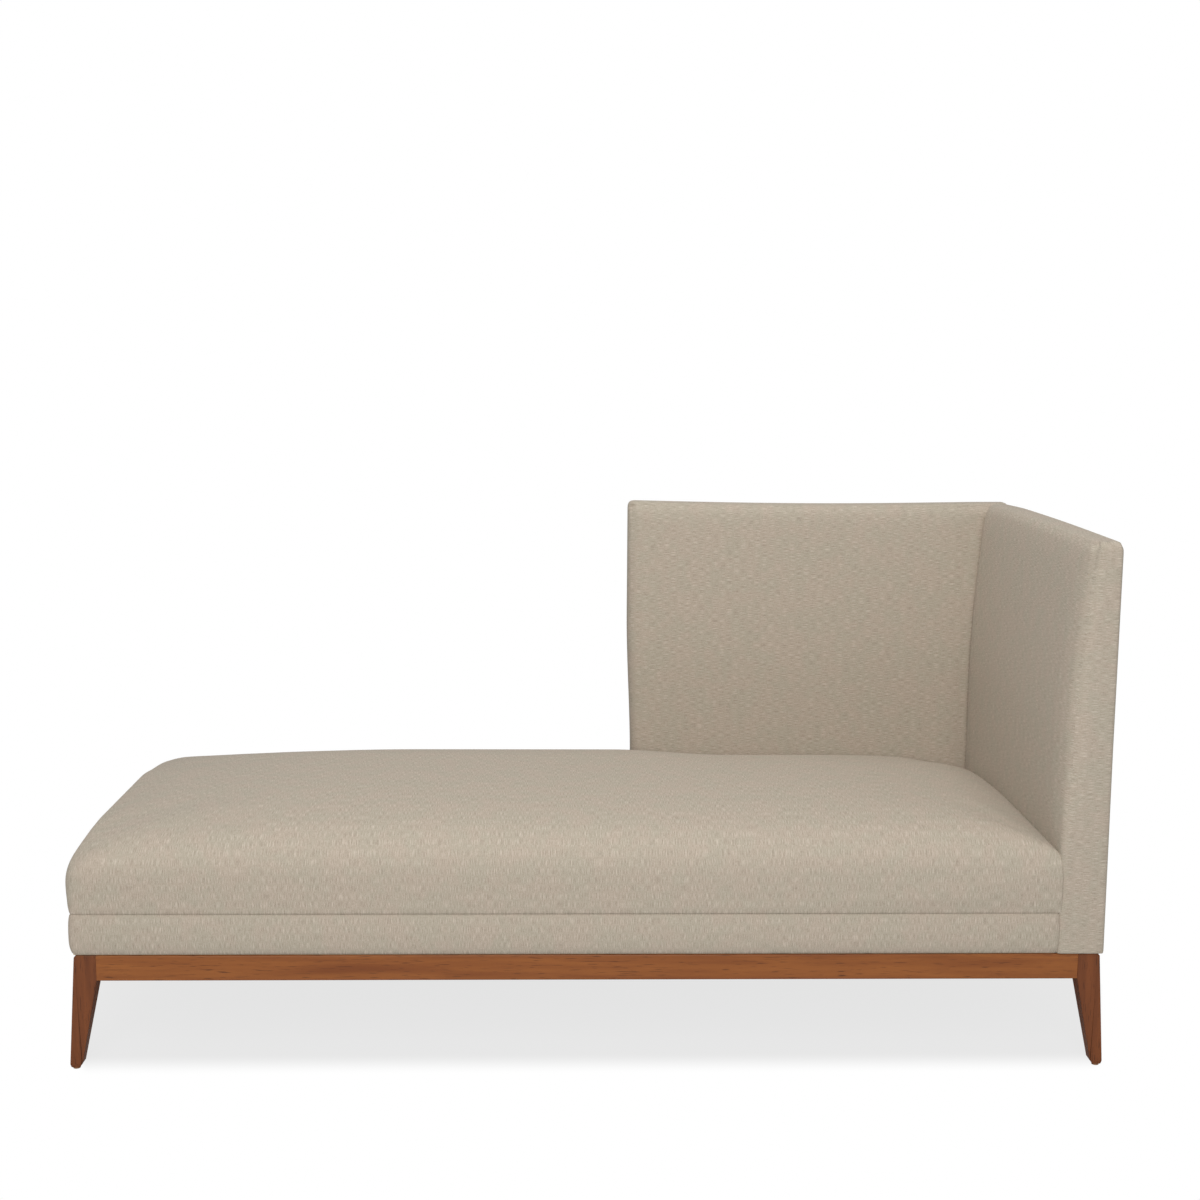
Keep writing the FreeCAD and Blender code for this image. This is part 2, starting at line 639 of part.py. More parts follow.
# Seat crown: rows of rise, then insets from the left, right, front and rear, and corner radius.
# The sides bulge, the edges roll over and the top domes. The right end runs on past the arm's
# face, where the plan trims it. The last rows follow the depth, because they lie inside it.
CROWN = (
    ("0", "-seam_pad", "-trim_run", "-seam_pad", "-seam_pad", "22"),
    ("0.14", "0.2 * seam_pad - crown_bulge", "-trim_run", "0.2 * seam_pad - crown_bulge",
     "0.2 * seam_pad - crown_bulge", "30"),
    ("0.3", "-crown_bulge", "-trim_run", "-crown_bulge", "-crown_bulge", "37"),
    ("0.44", "1 - crown_bulge", "-trim_run", "1 - crown_bulge", "1 - crown_bulge", "43"),
    ("0.55", "5 - crown_bulge", "-trim_run", "5 - crown_bulge", "12 - crown_bulge", "48"),
    ("0.64", "12 - crown_bulge", "-10", "12 - crown_bulge", "30 - crown_bulge", "54"),
    ("0.72", "24 - crown_bulge", "25", "23 - crown_bulge", "72 - crown_bulge", "64"),
    ("0.79", "40 - crown_bulge", "50", "38 - crown_bulge", "124 - crown_bulge", "76"),
    ("0.85", "64 - crown_bulge", "75", "58 - crown_bulge", "158 - crown_bulge", "92"),
    ("0.9", "0.13 * base_deep", "0.15 * base_deep", "0.115 * base_deep",
     "0.25 * base_deep", "0.15 * base_deep"),
    ("0.94", "0.2 * base_deep", "0.22 * base_deep", "0.17 * base_deep",
     "0.29 * base_deep", "0.17 * base_deep"),
    ("0.97", "0.3 * base_deep", "0.32 * base_deep", "0.24 * base_deep",
     "0.33 * base_deep", "0.17 * base_deep"),
    ("0.99", "0.43 * base_deep", "0.44 * base_deep", "0.31 * base_deep",
     "0.37 * base_deep", "0.13 * base_deep"),
    ("1", "0.55 * base_deep", "0.55 * base_deep", "0.39 * base_deep",
     "0.41 * base_deep", "0.08 * base_deep"),
)


def crown(start, shrink):
    """The crown's form, all round smaller by one distance, from its start up."""
    sections = []
    for share, left, right, front, rear, radius in CROWN:
        height = start if share == "0" else f"{SEAM} + {share} * (crown_rise - ({shrink}))"
        x = (f"({left}) + ({shrink}) - {SIDE}", f"{SEAT_RIGHT} - ({right}) - ({shrink})")
        y = (f"({front}) + ({shrink}) - {FRONT}", f"{FRONT} - ({rear}) - ({shrink})")
        sections.append((height, x, y, f"({radius} - ({shrink}))"))
    return loft(sections, straight=True)


FOAM_IN = "cloth_thick + foam_gap"
CROWN_LOW = f"({SEAM} - trim_start)"
CROWN_TALL = "crown_rise + trim_run"
outer = common(crown(SEAM, "0"), seat_plan("0", "trim_run", CROWN_LOW, CROWN_TALL))
hollow_plan = seat_plan("cloth_thick", "trim_run", CROWN_LOW, CROWN_TALL)
hollow = common(crown(f"{SEAM} - skin_overlap", "cloth_thick"), hollow_plan)
part("seat_cover", cut(outer, hollow))
foam_low = f"({felt_low} + felt_thick + foam_gap / 2)"
part("seat_foam", common(crown(foam_low, FOAM_IN), seat_plan(FOAM_IN, "trim_run", CROWN_LOW, CROWN_TALL)))

# Seat band: the padded border under the seam, bulging a little at half height
BAND = (
    (f"{BODY_LOW} + band_lift", "seam_pad"),
    (f"({BODY_LOW} + {SEAM}) / 2", "band_pad"),
    (f"{SEAM} - seam_gap", "seam_pad"),
)
sections = []
for height, out in BAND:
    x = (f"-{SIDE} - {out}", f"{SEAT_RIGHT} + trim_run")
    y = (f"-{FRONT} - {out}", f"{FRONT} + {out}")
    sections.append((height, x, y, "band_round"))
BAND_TALL = "seat_board_tall + trim_start"
core = seat_plan("cloth_thick", "0", BODY_LOW, BAND_TALL)
whole = common(loft(sections), seat_plan("0", "trim_run", BODY_LOW, BAND_TALL))
part("seat_band", cut(whole, core))

# Arm and back: rows of depth below the top, then shares of the thickness for the inner,
# outer and end faces and the corner radius, so that both grow thinner to a soft top edge
SLAB = (
    (f"slab_high - {BODY_LOW}", 0, 0, 0, 0.17),
    ("328", 0, 0.075, 0, 0.17),
    ("258", 0.04, 0.07, 0, 0.17),
    ("136", 0.15, 0.0625, 0.01, 0.17),
    ("76", 0.21, 0.0625, 0.02, 0.17),
    ("46", 0.275, 0.07, 0.035, 0.17),
    ("16", 0.39, 0.11, 0.1, 0.15),
    ("5", 0.48, 0.18, 0.17, 0.11),
    ("0", 0.56, 0.27, 0.25, 0.07),
)


def slab_height(row, shrink):
    """A row's height: all but the lowest come down as the form shrinks."""
    return f"slab_high - ({row[0]})" + ("" if row is SLAB[0] else f" - ({shrink})")


def arm_form(shrink):
    sections = []
    for row in SLAB:
        inner, outer, end, corner = row[1:]
        inside = f"{ARM_IN} + {inner} * arm_thick + ({shrink})"
        outside = f"{ARM_OUT} - {outer} * arm_thick - ({shrink})"
        rear = f"{BACK_OUT} - {end} * arm_thick - ({shrink})"
        radius = f"({corner} * arm_thick - ({shrink}))"
        sections.append((slab_height(row, shrink), (inside, outside), (f"-({rear})", rear), radius))
    return loft(sections, straight=True)


def back_form(shrink):
    sections = []
    for row in SLAB:
        inner, outer, end, corner = row[1:]
        left = f"{BACK_LEFT} + {end} * back_thick + ({shrink})"
        right = f"{ARM_IN} + {inner} * arm_thick - slab_gap - ({shrink})"
        inside = f"{BACK_IN} + {inner} * back_thick + ({shrink})"
        outside = f"{BACK_OUT} - {outer} * back_thick - ({shrink})"
        radius = f"({corner} * back_thick - ({shrink}))"
        sections.append((slab_height(row, shrink), (left, right), (inside, outside), radius))
    return loft(sections, straight=True)


# The space inside the foam for a slab's frame and its panels
def frame_room(frame, ends, axis, grow):
    across = (f"{frame[0]} - panel_thick - {grow}", f"{frame[1]} + panel_thick + {grow}")
    along = (f"{ends[0]} - {grow}", f"{ends[1]} + {grow}")
    height = (f"{BODY_LOW} - run_out", f"{SLAB_TOP} + {grow}")
    return board(across, along, height) if axis == "y" else board(along, across, height)


part("arm_cover", cut(cut(arm_form("0"), arm_form("cloth_thick")), bolt_holes))
arm_room = frame_room(ARM_FRAME, ARM_ENDS, "y", "foam_gap")
part("arm_foam", cut(cut(arm_form(FOAM_IN), arm_room), bolt_holes))
part("back_cover", cut(cut(back_form("0"), back_form("cloth_thick")), bolt_holes))
back_room = frame_room(BACK_FRAME, BACK_ENDS, "x", "foam_gap")
part("back_foam", cut(cut(back_form(FOAM_IN), back_room), bolt_holes))

# Arm frame: posts, rails and the thin panels that carry its foam
ALL_HIGH = (BODY_LOW, SLAB_TOP)
arm_between = (f"{ARM_ENDS[0]} + post_wide", f"{ARM_ENDS[1]} - post_wide")
arm_holes = (slab_dowel_holes, bolt_holes, slab_screw_holes)
post = board(ARM_FRAME, (ARM_ENDS[0], arm_between[0]), ALL_HIGH)
part("arm_front_post", cut(post, slab_dowel_holes))
post = board(ARM_FRAME, (arm_between[1], ARM_ENDS[1]), ALL_HIGH)
part("arm_rear_post", cut(post, slab_dowel_holes, bolt_holes))
part("arm_top_rail", cut(board(ARM_FRAME, arm_between, (TOP_RAIL_LOW, SLAB_TOP)), slab_dowel_holes))
part("arm_foot_rail", cut(board(ARM_FRAME, arm_between, (BODY_LOW, FOOT_TOP)), *arm_holes))
inner_panel = board((f"{ARM_FRAME[0]} - panel_thick", ARM_FRAME[0]), ARM_ENDS, ALL_HIGH)
part("arm_inner_panel", cut(inner_panel, bolt_holes))
part("arm_outer_panel", board((ARM_FRAME[1], f"{ARM_FRAME[1]} + panel_thick"), ARM_ENDS, ALL_HIGH))

# Back frame
back_between = (f"{BACK_ENDS[0]} + post_wide", f"{BACK_ENDS[1]} - post_wide")
post = board((BACK_ENDS[0], back_between[0]), BACK_FRAME, ALL_HIGH)
part("back_left_post", cut(post, slab_dowel_holes))
post = board((back_between[1], BACK_ENDS[1]), BACK_FRAME, ALL_HIGH)
part("back_right_post", cut(post, slab_dowel_holes, bolt_holes))
middle_post = (f"{BACK_MIDDLE} - centre_post_wide / 2", f"{BACK_MIDDLE} + centre_post_wide / 2")
part("back_centre_post", cut(board(middle_post, BACK_FRAME, (FOOT_TOP, TOP_RAIL_LOW)), slab_dowel_holes))
part("back_top_rail", cut(board(back_between, BACK_FRAME, (TOP_RAIL_LOW, SLAB_TOP)), slab_dowel_holes))
part("back_foot_rail", cut(board(back_between, BACK_FRAME, (BODY_LOW, FOOT_TOP)), *arm_holes))
inner_panel = board(BACK_ENDS, (f"{BACK_FRAME[0]} - panel_thick", BACK_FRAME[0]), ALL_HIGH)
part("back_inner_panel", cut(inner_panel, bolt_holes))
part("back_outer_panel", board(BACK_ENDS, (BACK_FRAME[1], f"{BACK_FRAME[1]} + panel_thick"), ALL_HIGH))

# Fasteners of the frames
part("slab_dowels", rods(slab_dowel_places, DOWEL))
part("frame_bolts", add("Part::Compound", "bolts", Links=[bolt(*p) for p in bolt_places]))
washers = []
nuts = []
for spot, way, grip in bolt_places:
    washers.append(ring(spot, way, "-washer_thick", "0", "washer_radius"))
    washers.append(ring(spot, way, grip, f"{grip} + washer_thick", "washer_radius"))
    nut = (f"{grip} + washer_thick", f"{grip} + washer_thick + nut_thick")
    nuts.append(ring(spot, way, *nut, "bolt_head_radius"))
part("bolt_washers", add("Part::Compound", "washers", Links=washers))
part("bolt_nuts", add("Part::Compound", "nuts", Links=nuts))

doc.recompute()
for item in doc.Objects:
    if "Invalid" in item.State or "Error" in item.State:
        raise RuntimeError(f"{item.Name} ({item.Label}) did not recompute: {item.State}")
for item in parts:
    if item.Shape.isNull() or not item.Shape.isValid():
        raise RuntimeError(f"{item.Label} has no valid shape")

os.makedirs("parts", exist_ok=True)
for item in parts:
    item.Shape.exportStep(f"parts/{item.Label}.step")
print(len(parts), "sub-parts written")
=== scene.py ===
import math

import bmesh
import bpy
from mathutils import Matrix, Vector


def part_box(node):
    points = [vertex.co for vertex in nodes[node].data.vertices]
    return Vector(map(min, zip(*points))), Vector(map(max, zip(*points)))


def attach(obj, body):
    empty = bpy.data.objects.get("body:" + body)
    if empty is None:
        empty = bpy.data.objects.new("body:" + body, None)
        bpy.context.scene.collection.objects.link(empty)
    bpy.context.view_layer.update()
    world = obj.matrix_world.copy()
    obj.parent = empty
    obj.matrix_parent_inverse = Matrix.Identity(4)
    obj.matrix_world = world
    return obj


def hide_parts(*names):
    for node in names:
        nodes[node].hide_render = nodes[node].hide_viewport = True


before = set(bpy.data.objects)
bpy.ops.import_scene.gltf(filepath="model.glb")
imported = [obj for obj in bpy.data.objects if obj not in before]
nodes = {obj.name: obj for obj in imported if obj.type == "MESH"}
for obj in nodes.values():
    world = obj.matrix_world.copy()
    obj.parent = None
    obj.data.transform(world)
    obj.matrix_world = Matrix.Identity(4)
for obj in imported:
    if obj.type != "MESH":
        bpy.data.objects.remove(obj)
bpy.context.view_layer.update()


# The legs of the show-wood base. Each is one piece of stained hardwood, square at the top and tapered to a
# small foot, with its arrises sanded off and a chamfer round the sole. The grain runs down the leg.
ARRIS = 0.0012
SHOULDER_ROUND = 0.005
SHOULDER_FROM = 0.84
SHORTEST_ARRIS = 0.006
SHARP_TURN = math.radians(25)
FLAT_TURN = math.radians(1)
MERGE = 0.00001
GRAIN_STRETCH = 0.06
PORE_TONE = 0.78
LEG_DARK = (95, 49, 22)
LEG_PALE = (122, 67, 32)
LEGS = ("front_left_leg", "front_right_leg", "rear_left_leg", "rear_right_leg")


def shade(colour):
    """A colour as a shader wants it, from the 0 to 255 values that a screen shows."""
    linear = [c / 255 / 12.92 if c < 11 else ((c / 255 + 0.055) / 1.055) ** 2.4 for c in colour]
    return (*linear, 1.0)


def step(finish, kind, feeds, **settings):
    """One node of a finish: its settings, and a value or another node's output for each socket."""
    node = finish.node_tree.nodes.new("ShaderNode" + kind)
    for name, value in settings.items():
        setattr(node, name, value)
    for socket, value in feeds.items():
        if isinstance(value, bpy.types.NodeSocket):
            finish.node_tree.links.new(value, node.inputs[socket])
        else:
            node.inputs[socket].default_value = value
    return node


def new_finish(name, roughness, **constants):
    """A finish with its shader, and with what is the same all over the surface set on it."""
    finish = bpy.data.materials.new(name)
    finish.use_nodes = True
    shader = finish.node_tree.nodes["Principled BSDF"]
    shader.inputs["Roughness"].default_value = roughness
    for socket, value in constants.items():
        shader.inputs[socket.replace("_", " ").title().replace("Ior", "IOR")].default_value = value
    return finish, shader


def feed(finish, output, socket):
    """Leads a node's output to a socket of the shader."""
    finish.node_tree.links.new(output, socket)


def blend_of(finish, share, low, high):
    """A colour between two, by a share from 0 to 1."""
    mix = step(finish, "Mix", {"Factor": share, 6: low, 7: high}, data_type="RGBA")
    return mix.outputs[2]


def spread(finish, value, low, high):
    """A value stretched so that low becomes 0 and high becomes 1, cut off outside."""
    span = step(finish, "MapRange", {"Value": value, "From Min": low, "From Max": high})
    return span.outputs["Result"]


def worked_out(finish, first, second, operation="ADD"):
    """What a sum, or another operation, makes of two values."""
    return step(finish, "Math", {0: first, 1: second}, operation=operation).outputs["Value"]


def wood(name, dark, pale, grain, roughness=0.42, coat=0.1):
    """Timber whose grain runs along one axis: streaks, a slow drift of tone, and short dark pores."""
    finish, shader = new_finish(name, roughness, coat_weight=coat, coat_roughness=0.3, specular_ior_level=0.3)
    place = step(finish, "TexCoord", {}).outputs["Object"]
    stretch = [1.0, 1.0, 1.0]
    stretch[grain] = GRAIN_STRETCH
    along = step(finish, "Mapping", {"Vector": place, "Scale": stretch}).outputs["Vector"]
    streaks = step(finish, "TexNoise", {"Vector": along, "Scale": 95.0, "Detail": 5.0, "Distortion": 0.6})
    drift = step(finish, "TexNoise", {"Vector": along, "Scale": 17.0, "Detail": 2.0, "Distortion": 1.2})
    pores = step(finish, "TexNoise", {"Vector": along, "Scale": 620.0, "Detail": 1.0})
    tone = worked_out(finish, streaks.outputs["Fac"], drift.outputs["Fac"])
    share = spread(finish, tone, 0.72, 1.28)
    figured = blend_of(finish, share, shade(dark), shade(pale))
    pore = spread(finish, pores.outputs["Fac"], 0.62, 0.74)
    darkened = [c * PORE_TONE for c in dark]
    feed(finish, blend_of(finish, pore, figured, shade(darkened)), shader.inputs["Base Color"])
    relief = step(finish, "Bump", {"Height": pore, "Strength": 0.25, "Distance": 0.0003}, invert=True)
    feed(finish, relief.outputs["Normal"], shader.inputs["Normal"])
    rough = spread(finish, streaks.outputs["Fac"], -2.0, 2.6)
    feed(finish, rough, shader.inputs["Roughness"])
    return finish


def made(name, bm, finish):
    """A bmesh made an object with its finish."""
    mesh = bpy.data.meshes.new(name)
    bm.to_mesh(mesh)
    bm.free()
    mesh.materials.append(finish)
    piece = bpy.data.objects.new(name, mesh)
    bpy.context.scene.collection.objects.link(piece)
    return piece


def bevelled(bm, edges, size, segments):
    """Rounds edges, or corner points of an outline, with the material left as it is."""
    kind = "VERTICES" if isinstance(edges[0], bmesh.types.BMVert) else "EDGES"
    bmesh.ops.bevel(bm, geom=edges, offset=size, affect=kind, segments=segments, profile=0.5, material=-1)


def sanded(node, finish, shoulder=None):
    """A part of the frame with its long arrises taken off, and a rounder shoulder where one is asked for."""
    bm = bmesh.new()
    bm.from_mesh(nodes[node].data)
    bmesh.ops.remove_doubles(bm, verts=bm.verts, dist=MERGE)
    bmesh.ops.dissolve_limit(bm, angle_limit=FLAT_TURN, verts=bm.verts, edges=bm.edges)
    if shoulder:
        corner = [e for e in bm.edges if shoulder(e)]
        bevelled(bm, corner, SHOULDER_ROUND, 4)
    sharp = [e for e in bm.edges if len(e.link_faces) == 2 and e.calc_face_angle(0) > SHARP_TURN]
    bevelled(bm, [e for e in sharp if e.calc_length() > SHORTEST_ARRIS], ARRIS, 2)
    bmesh.ops.triangulate(bm, faces=[f for f in bm.faces if len(f.verts) > 4])
    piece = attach(made(node + "_sanded", bm, finish), "root")
    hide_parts(node)


leg_wood = wood("leg_wood", LEG_DARK, LEG_PALE, grain=2)
for leg in LEGS:
    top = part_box(leg)[1].z

    def top_outer(edge, top=top):
        """Says whether an edge runs from front to rear along the leg's top, on its outer side."""
        ends = [v.co for v in edge.verts]
        level = all(abs(p.z - top) < MERGE for p in ends)
        return level and abs(ends[0].x - ends[1].x) < MERGE and abs(ends[0].x) > SHOULDER_FROM

    sanded(leg, leg_wood, top_outer)


# The four rails between the legs, of the same timber in a redder, paler cut. Their grain runs along them, and
# they meet the legs flush in dowelled butt joints, with a sanded arris at each edge.
RAIL_DARK = (122, 66, 28)
RAIL_PALE = (148, 88, 40)
for rails, grain in ((("front_rail", "rear_rail"), 0), (("left_rail", "right_rail"), 1)):
    rail_wood = wood("rail_wood_" + "xy"[grain], RAIL_DARK, RAIL_PALE, grain)
    for rail in rails:
        sanded(rail, rail_wood)


# The bearers and corner blocks inside the base, of plain unstained timber. The seat frame is screwed down on
# the bearers, and the blocks brace the leg joints. Dowels of the same timber pin the joints.
BARE_DARK = (176, 142, 98)
BARE_PALE = (214, 186, 146)
BARE_ROUGHNESS = 0.65
bare_wood = []
for axis in range(3):
    bare_wood.append(wood("bare_wood_" + "xyz"[axis], BARE_DARK, BARE_PALE, axis, BARE_ROUGHNESS, coat=0.0))


def carried(names, finish):
    """Gives parts of the frame their finish, where they are shown as they are."""
    for name in names:
        mesh = nodes[name].data
        mesh.materials.clear()
        mesh.materials.append(finish)


carried(("left_bearer", "centre_bearer", "right_bearer"), bare_wood[1])
carried(("front_left_block", "front_right_block", "rear_left_block", "rear_right_block"), bare_wood[0])
carried(("rail_dowels", "slab_dowels", "bearer_dowels"), bare_wood[0])


# Steel fasteners, zinc plated: screws for the blocks, the base and the seat frame, and the bolts, washers and
# nuts that hold the arm and the back. The plating is a little blotchy.
ZINC = (186, 190, 194)
ZINC_DULL = (142, 146, 148)


def plated():
    """Zinc plating, with its soft blotches."""
    finish, shader = new_finish("zinc_plating", 0.35, metallic=1.0)
    place = step(finish, "TexCoord", {}).outputs["Object"]
    blotches = step(finish, "TexNoise", {"Vector": place, "Scale": 240.0, "Detail": 3.0})
    share = spread(finish, blotches.outputs["Fac"], 0.35, 0.7)
    feed(finish, blend_of(finish, share, shade(ZINC_DULL), shade(ZINC)), shader.inputs["Base Color"])
    feed(finish, spread(finish, blotches.outputs["Fac"], 1.2, -0.4), shader.inputs["Roughness"])
    return finish


carried(("block_screws", "base_screws", "seat_screws", "frame_bolts", "bolt_washers", "bolt_nuts"), plated())


# The floor glides, four small discs of tan nylon nailed under the feet.
GLIDE = (140, 98, 62)
GLIDE_WORN = (176, 138, 98)


def nylon():
    """Dull moulded nylon, scuffed where it slides."""
    finish, shader = new_finish("glide_nylon", 0.55)
    place = step(finish, "TexCoord", {}).outputs["Object"]
    scuffs = step(finish, "TexNoise", {"Vector": place, "Scale": 900.0, "Detail": 4.0})
    share = spread(finish, scuffs.outputs["Fac"], 0.5, 0.75)
    feed(finish, blend_of(finish, share, shade(GLIDE), shade(GLIDE_WORN)), shader.inputs["Base Color"])
    return finish


carried(("floor_glides",), nylon())


# The dust cloth, a thin black bonded fabric stretched and stapled under the seat frame. It closes the frame
# from below, and its surface is a field of tiny pressed dots.
DUST_BLACK = (44, 43, 42)
DUST_GREY = (70, 69, 67)
DOT_PITCH = 0.0016


def bonded_cloth():
    """Bonded fabric with its pressed dots."""
    finish, shader = new_finish("dust_fabric", 0.85)
    place = step(finish, "TexCoord", {}).outputs["Object"]
    dots = step(finish, "TexVoronoi", {"Vector": place, "Scale": 1 / DOT_PITCH, "Randomness": 0.15})
    fibres = step(finish, "TexNoise", {"Vector": place, "Scale": 300.0, "Detail": 4.0})
    pressed = spread(finish, dots.outputs["Distance"], 0.15, 0.5)
    share = worked_out(finish, pressed, fibres.outputs["Fac"], "MULTIPLY")
    feed(finish, blend_of(finish, share, shade(DUST_BLACK), shade(DUST_GREY)), shader.inputs["Base Color"])
    relief = step(finish, "Bump", {"Height": pressed, "Strength": 0.4, "Distance": 0.0003})
    feed(finish, relief.outputs["Normal"], shader.inputs["Normal"])
    return finish


carried(("dust_cover",), bonded_cloth())


# The seat frame of planed boards on edge, an L in plan that leaves room for the back. The cross boards stop
# the long ones bowing in under the pull of the webbing.
carried(("seat_front_board", "seat_rear_board", "seat_inner_board"), bare_wood[0])
carried(("seat_left_board", "seat_right_board", "seat_return_board"), bare_wood[1])
carried(("seat_left_cross_board", "seat_centre_cross_board", "seat_right_cross_board"), bare_wood[1])


# The webbing, elastic straps stapled across the seat frame, the long ones under and over the cross ones, and
# the felt on it that keeps the foam from working down between the straps.
STRAP = (120, 104, 84)
STRAP_LINE = (62, 56, 50)
STRAP_PITCH = 0.011
LINES_EACH = 3
FELT_DARK = (104, 102, 98)
FELT_PALE = (150, 148, 142)


def strapping():
    """Woven strap, ribbed, with darker lines."""
    finish, shader = new_finish("strap_weave", 0.8)
    place = step(finish, "TexCoord", {}).outputs["Object"]
    closeness = 0.1 * LINES_EACH / STRAP_PITCH
    lines = step(finish, "TexWave", {"Vector": place, "Scale": closeness, "Distortion": 0.2})
    ribs = step(finish, "TexChecker", {"Vector": place, "Scale": 800.0})
    share = spread(finish, lines.outputs["Fac"], 0.75, 0.95)
    feed(finish, blend_of(finish, share, shade(STRAP), shade(STRAP_LINE)), shader.inputs["Base Color"])
    relief = step(finish, "Bump", {"Height": ribs.outputs["Fac"], "Strength": 0.4, "Distance": 0.0003})
    feed(finish, relief.outputs["Normal"], shader.inputs["Normal"])
    return finish


def felted():
    """Needled felt of mixed grey fibres."""
    finish, shader = new_finish("felt_fibre", 0.95)
    place = step(finish, "TexCoord", {}).outputs["Object"]
    fibres = step(finish, "TexNoise", {"Vector": place, "Scale": 420.0, "Detail": 6.0, "Distortion": 2.0})
    share = spread(finish, fibres.outputs["Fac"], 0.35, 0.7)
    feed(finish, blend_of(finish, share, shade(FELT_DARK), shade(FELT_PALE)), shader.inputs["Base Color"])
    relief = step(finish, "Bump", {"Height": fibres.outputs["Fac"], "Strength": 0.6, "Distance": 0.0008})
    feed(finish, relief.outputs["Normal"], shader.inputs["Normal"])
    return finish


carried(("seat_long_webbing", "seat_cross_webbing"), strapping())
carried(("seat_felt",), felted())


# The seat, a block of foam under a fabric cover that is sewn to the band below it. The foam is full: its
# front and end swell over the seam and roll into a low crown, which sinks towards the back and the arm.
CLOTH_WARM = (189, 175, 159)
CLOTH_COOL = (184, 175, 158)
CLOTH_DARK = (146, 134, 119)
SLUB = (216, 205, 190)
SLUB_WIDE = 0.0008
SLUB_LONG = 0.014
YARN = 0.0017
FIBRE_STRETCH = (1.5, 0.45, 1.0)
FIBRE_SCALE = 760.0
YARN_WANDER = 0.004


def woven():
    """The seat fabric: a plain weave of soft yarn, with pale slubs that lie along the warp."""
    sheen = {"sheen_weight": 0.06, "sheen_roughness": 0.5}
    finish, shader = new_finish("chenille_weave", 0.92, specular_ior_level=0.3, **sheen)
    place = step(finish, "TexCoord", {}).outputs["Object"]
    laid = step(finish, "UVMap", {}, uv_map="cloth").outputs["UV"]
    wander = step(finish, "TexNoise", {"Vector": laid, "Scale": 30.0, "Detail": 1.0}).outputs["Color"]
    drift = step(finish, "VectorMath", {0: wander, 1: (YARN_WANDER, 0.0, 0.0)}, operation="MULTIPLY")
    drawn = step(finish, "VectorMath", {0: laid, 1: drift.outputs["Vector"]}, operation="ADD")
    slub_scale = (1 / SLUB_WIDE, 1 / SLUB_LONG, 1.0)
    warp = step(finish, "Mapping", {"Vector": drawn.outputs["Vector"], "Scale": slub_scale}).outputs["Vector"]
    slubs = step(finish, "TexNoise", {"Vector": warp, "Scale": 1.0, "Detail": 1.0, "Roughness": 0.5})
    slub = slubs.outputs["Fac"]
    way = step(finish, "Mapping", {"Vector": laid, "Scale": FIBRE_STRETCH}).outputs["Vector"]
    fibres = step(finish, "TexNoise", {"Vector": way, "Scale": FIBRE_SCALE, "Detail": 2.0, "Roughness": 0.6})
    grain = fibres.outputs["Fac"]
    mottle = step(finish, "TexNoise", {"Vector": place, "Scale": 26.0, "Detail": 3.0, "Roughness": 0.6})
    tint = spread(finish, mottle.outputs["Fac"], 0.4, 0.6)
    ground = blend_of(finish, tint, shade(CLOTH_WARM), shade(CLOTH_COOL))
    worn = worked_out(finish, spread(finish, grain, 0.66, 0.34), spread(finish, slub, 0.48, 0.25))
    ground = blend_of(finish, worked_out(finish, worn, 0.5, "MULTIPLY"), ground, shade(CLOTH_DARK))
    pale = worked_out(finish, spread(finish, slub, 0.54, 0.74), 0.62, "MULTIPLY")
    feed(finish, blend_of(finish, pale, ground, shade(SLUB)), shader.inputs["Base Color"])
    yarns = step(finish, "Mapping", {"Vector": laid, "Scale": (1 / YARN, 1 / YARN, 1.0)}).outputs["Vector"]
    weave = step(finish, "TexChecker", {"Vector": yarns, "Scale": 1.0}).outputs["Fac"]
    height = worked_out(finish, worked_out(finish, worked_out(finish, weave, 0.3, "MULTIPLY"), slub), grain)
    relief = step(finish, "Bump", {"Height": height, "Strength": 0.4, "Distance": 0.0006})
    feed(finish, relief.outputs["Normal"], shader.inputs["Normal"])
    return finish


chenille = woven()

# Sizes of the net of rings over the seat, in millimetres, from the seam up to the middle of the crown.
RING_HEIGHT = (0, 22, 48, 71, 88.5, 103, 116, 127, 137, 145, 151.5, 156, 159.5, 161)
LEFT_INSET = (-5, -10, -12.8, -13, -11.7, -9, -4.9, -1.2, 2.5, 12, 83, 181, 288, 396)
RIGHT_INSET = (0, 0, 0, 0, 0, 0, 25, 50, 75, 108, 158, 230, 317, 396)
FRONT_INSET = (-5, -8.3, -9, -8, -4, 3, 14, 29, 49, 83, 122, 173, 223, 281)
REAR_INSET = (-5, -8.3, -9, -8, 3, 21, 63, 115, 149, 180, 209, 238, 266, 295)
CORNER_ROUND = (10, 16, 22, 28, 36, 46, 58, 72, 88, 104, 112, 104, 66, 16)
RINGS_BETWEEN = 3
RINGS = (len(RING_HEIGHT) - 1) * RINGS_BETWEEN
LEAST_CELL = 4
TOP_CELL = 15
MM = 0.001
TOP_COLUMNS = 56
TOP_ROWS = 10
SINK_FROM = 0.05
SINK_OVER = 0.1
END_DROP = 0.0284
END_REACH = 0.532
BACK_DROP = 0.027
BACK_REACH = 0.34
BACK_START = (-0.03, 0.2)
CORNER_DROP = 0.015
CORNER_START = (-0.17, -0.03)
TUCK = 0.007
TUCK_REACH = 0.016
TUCK_FROM = 0.055
ROUND_FROM = 0.06
HEM = 0.008
PRESSED = 0.005
NOTCH_GAP = 0.0035


def flowing(values, ring):
    """A size at any ring, on a smooth curve through those that are given, in metres."""
    at = min(ring / RINGS_BETWEEN, len(values) - 1 - 1e-9)
    i = int(at)
    t = at - i
    p0, p1, p2 = values[max(i - 1, 0)], values[i], values[i + 1]
    p3 = values[min(i + 2, len(values) - 1)]
    bend = (p2 - p0) * t + (2 * p0 - 5 * p1 + 4 * p2 - p3) * t * t + (3 * (p1 - p2) + p3 - p0) * t**3
    return (p1 + bend / 2) * MM


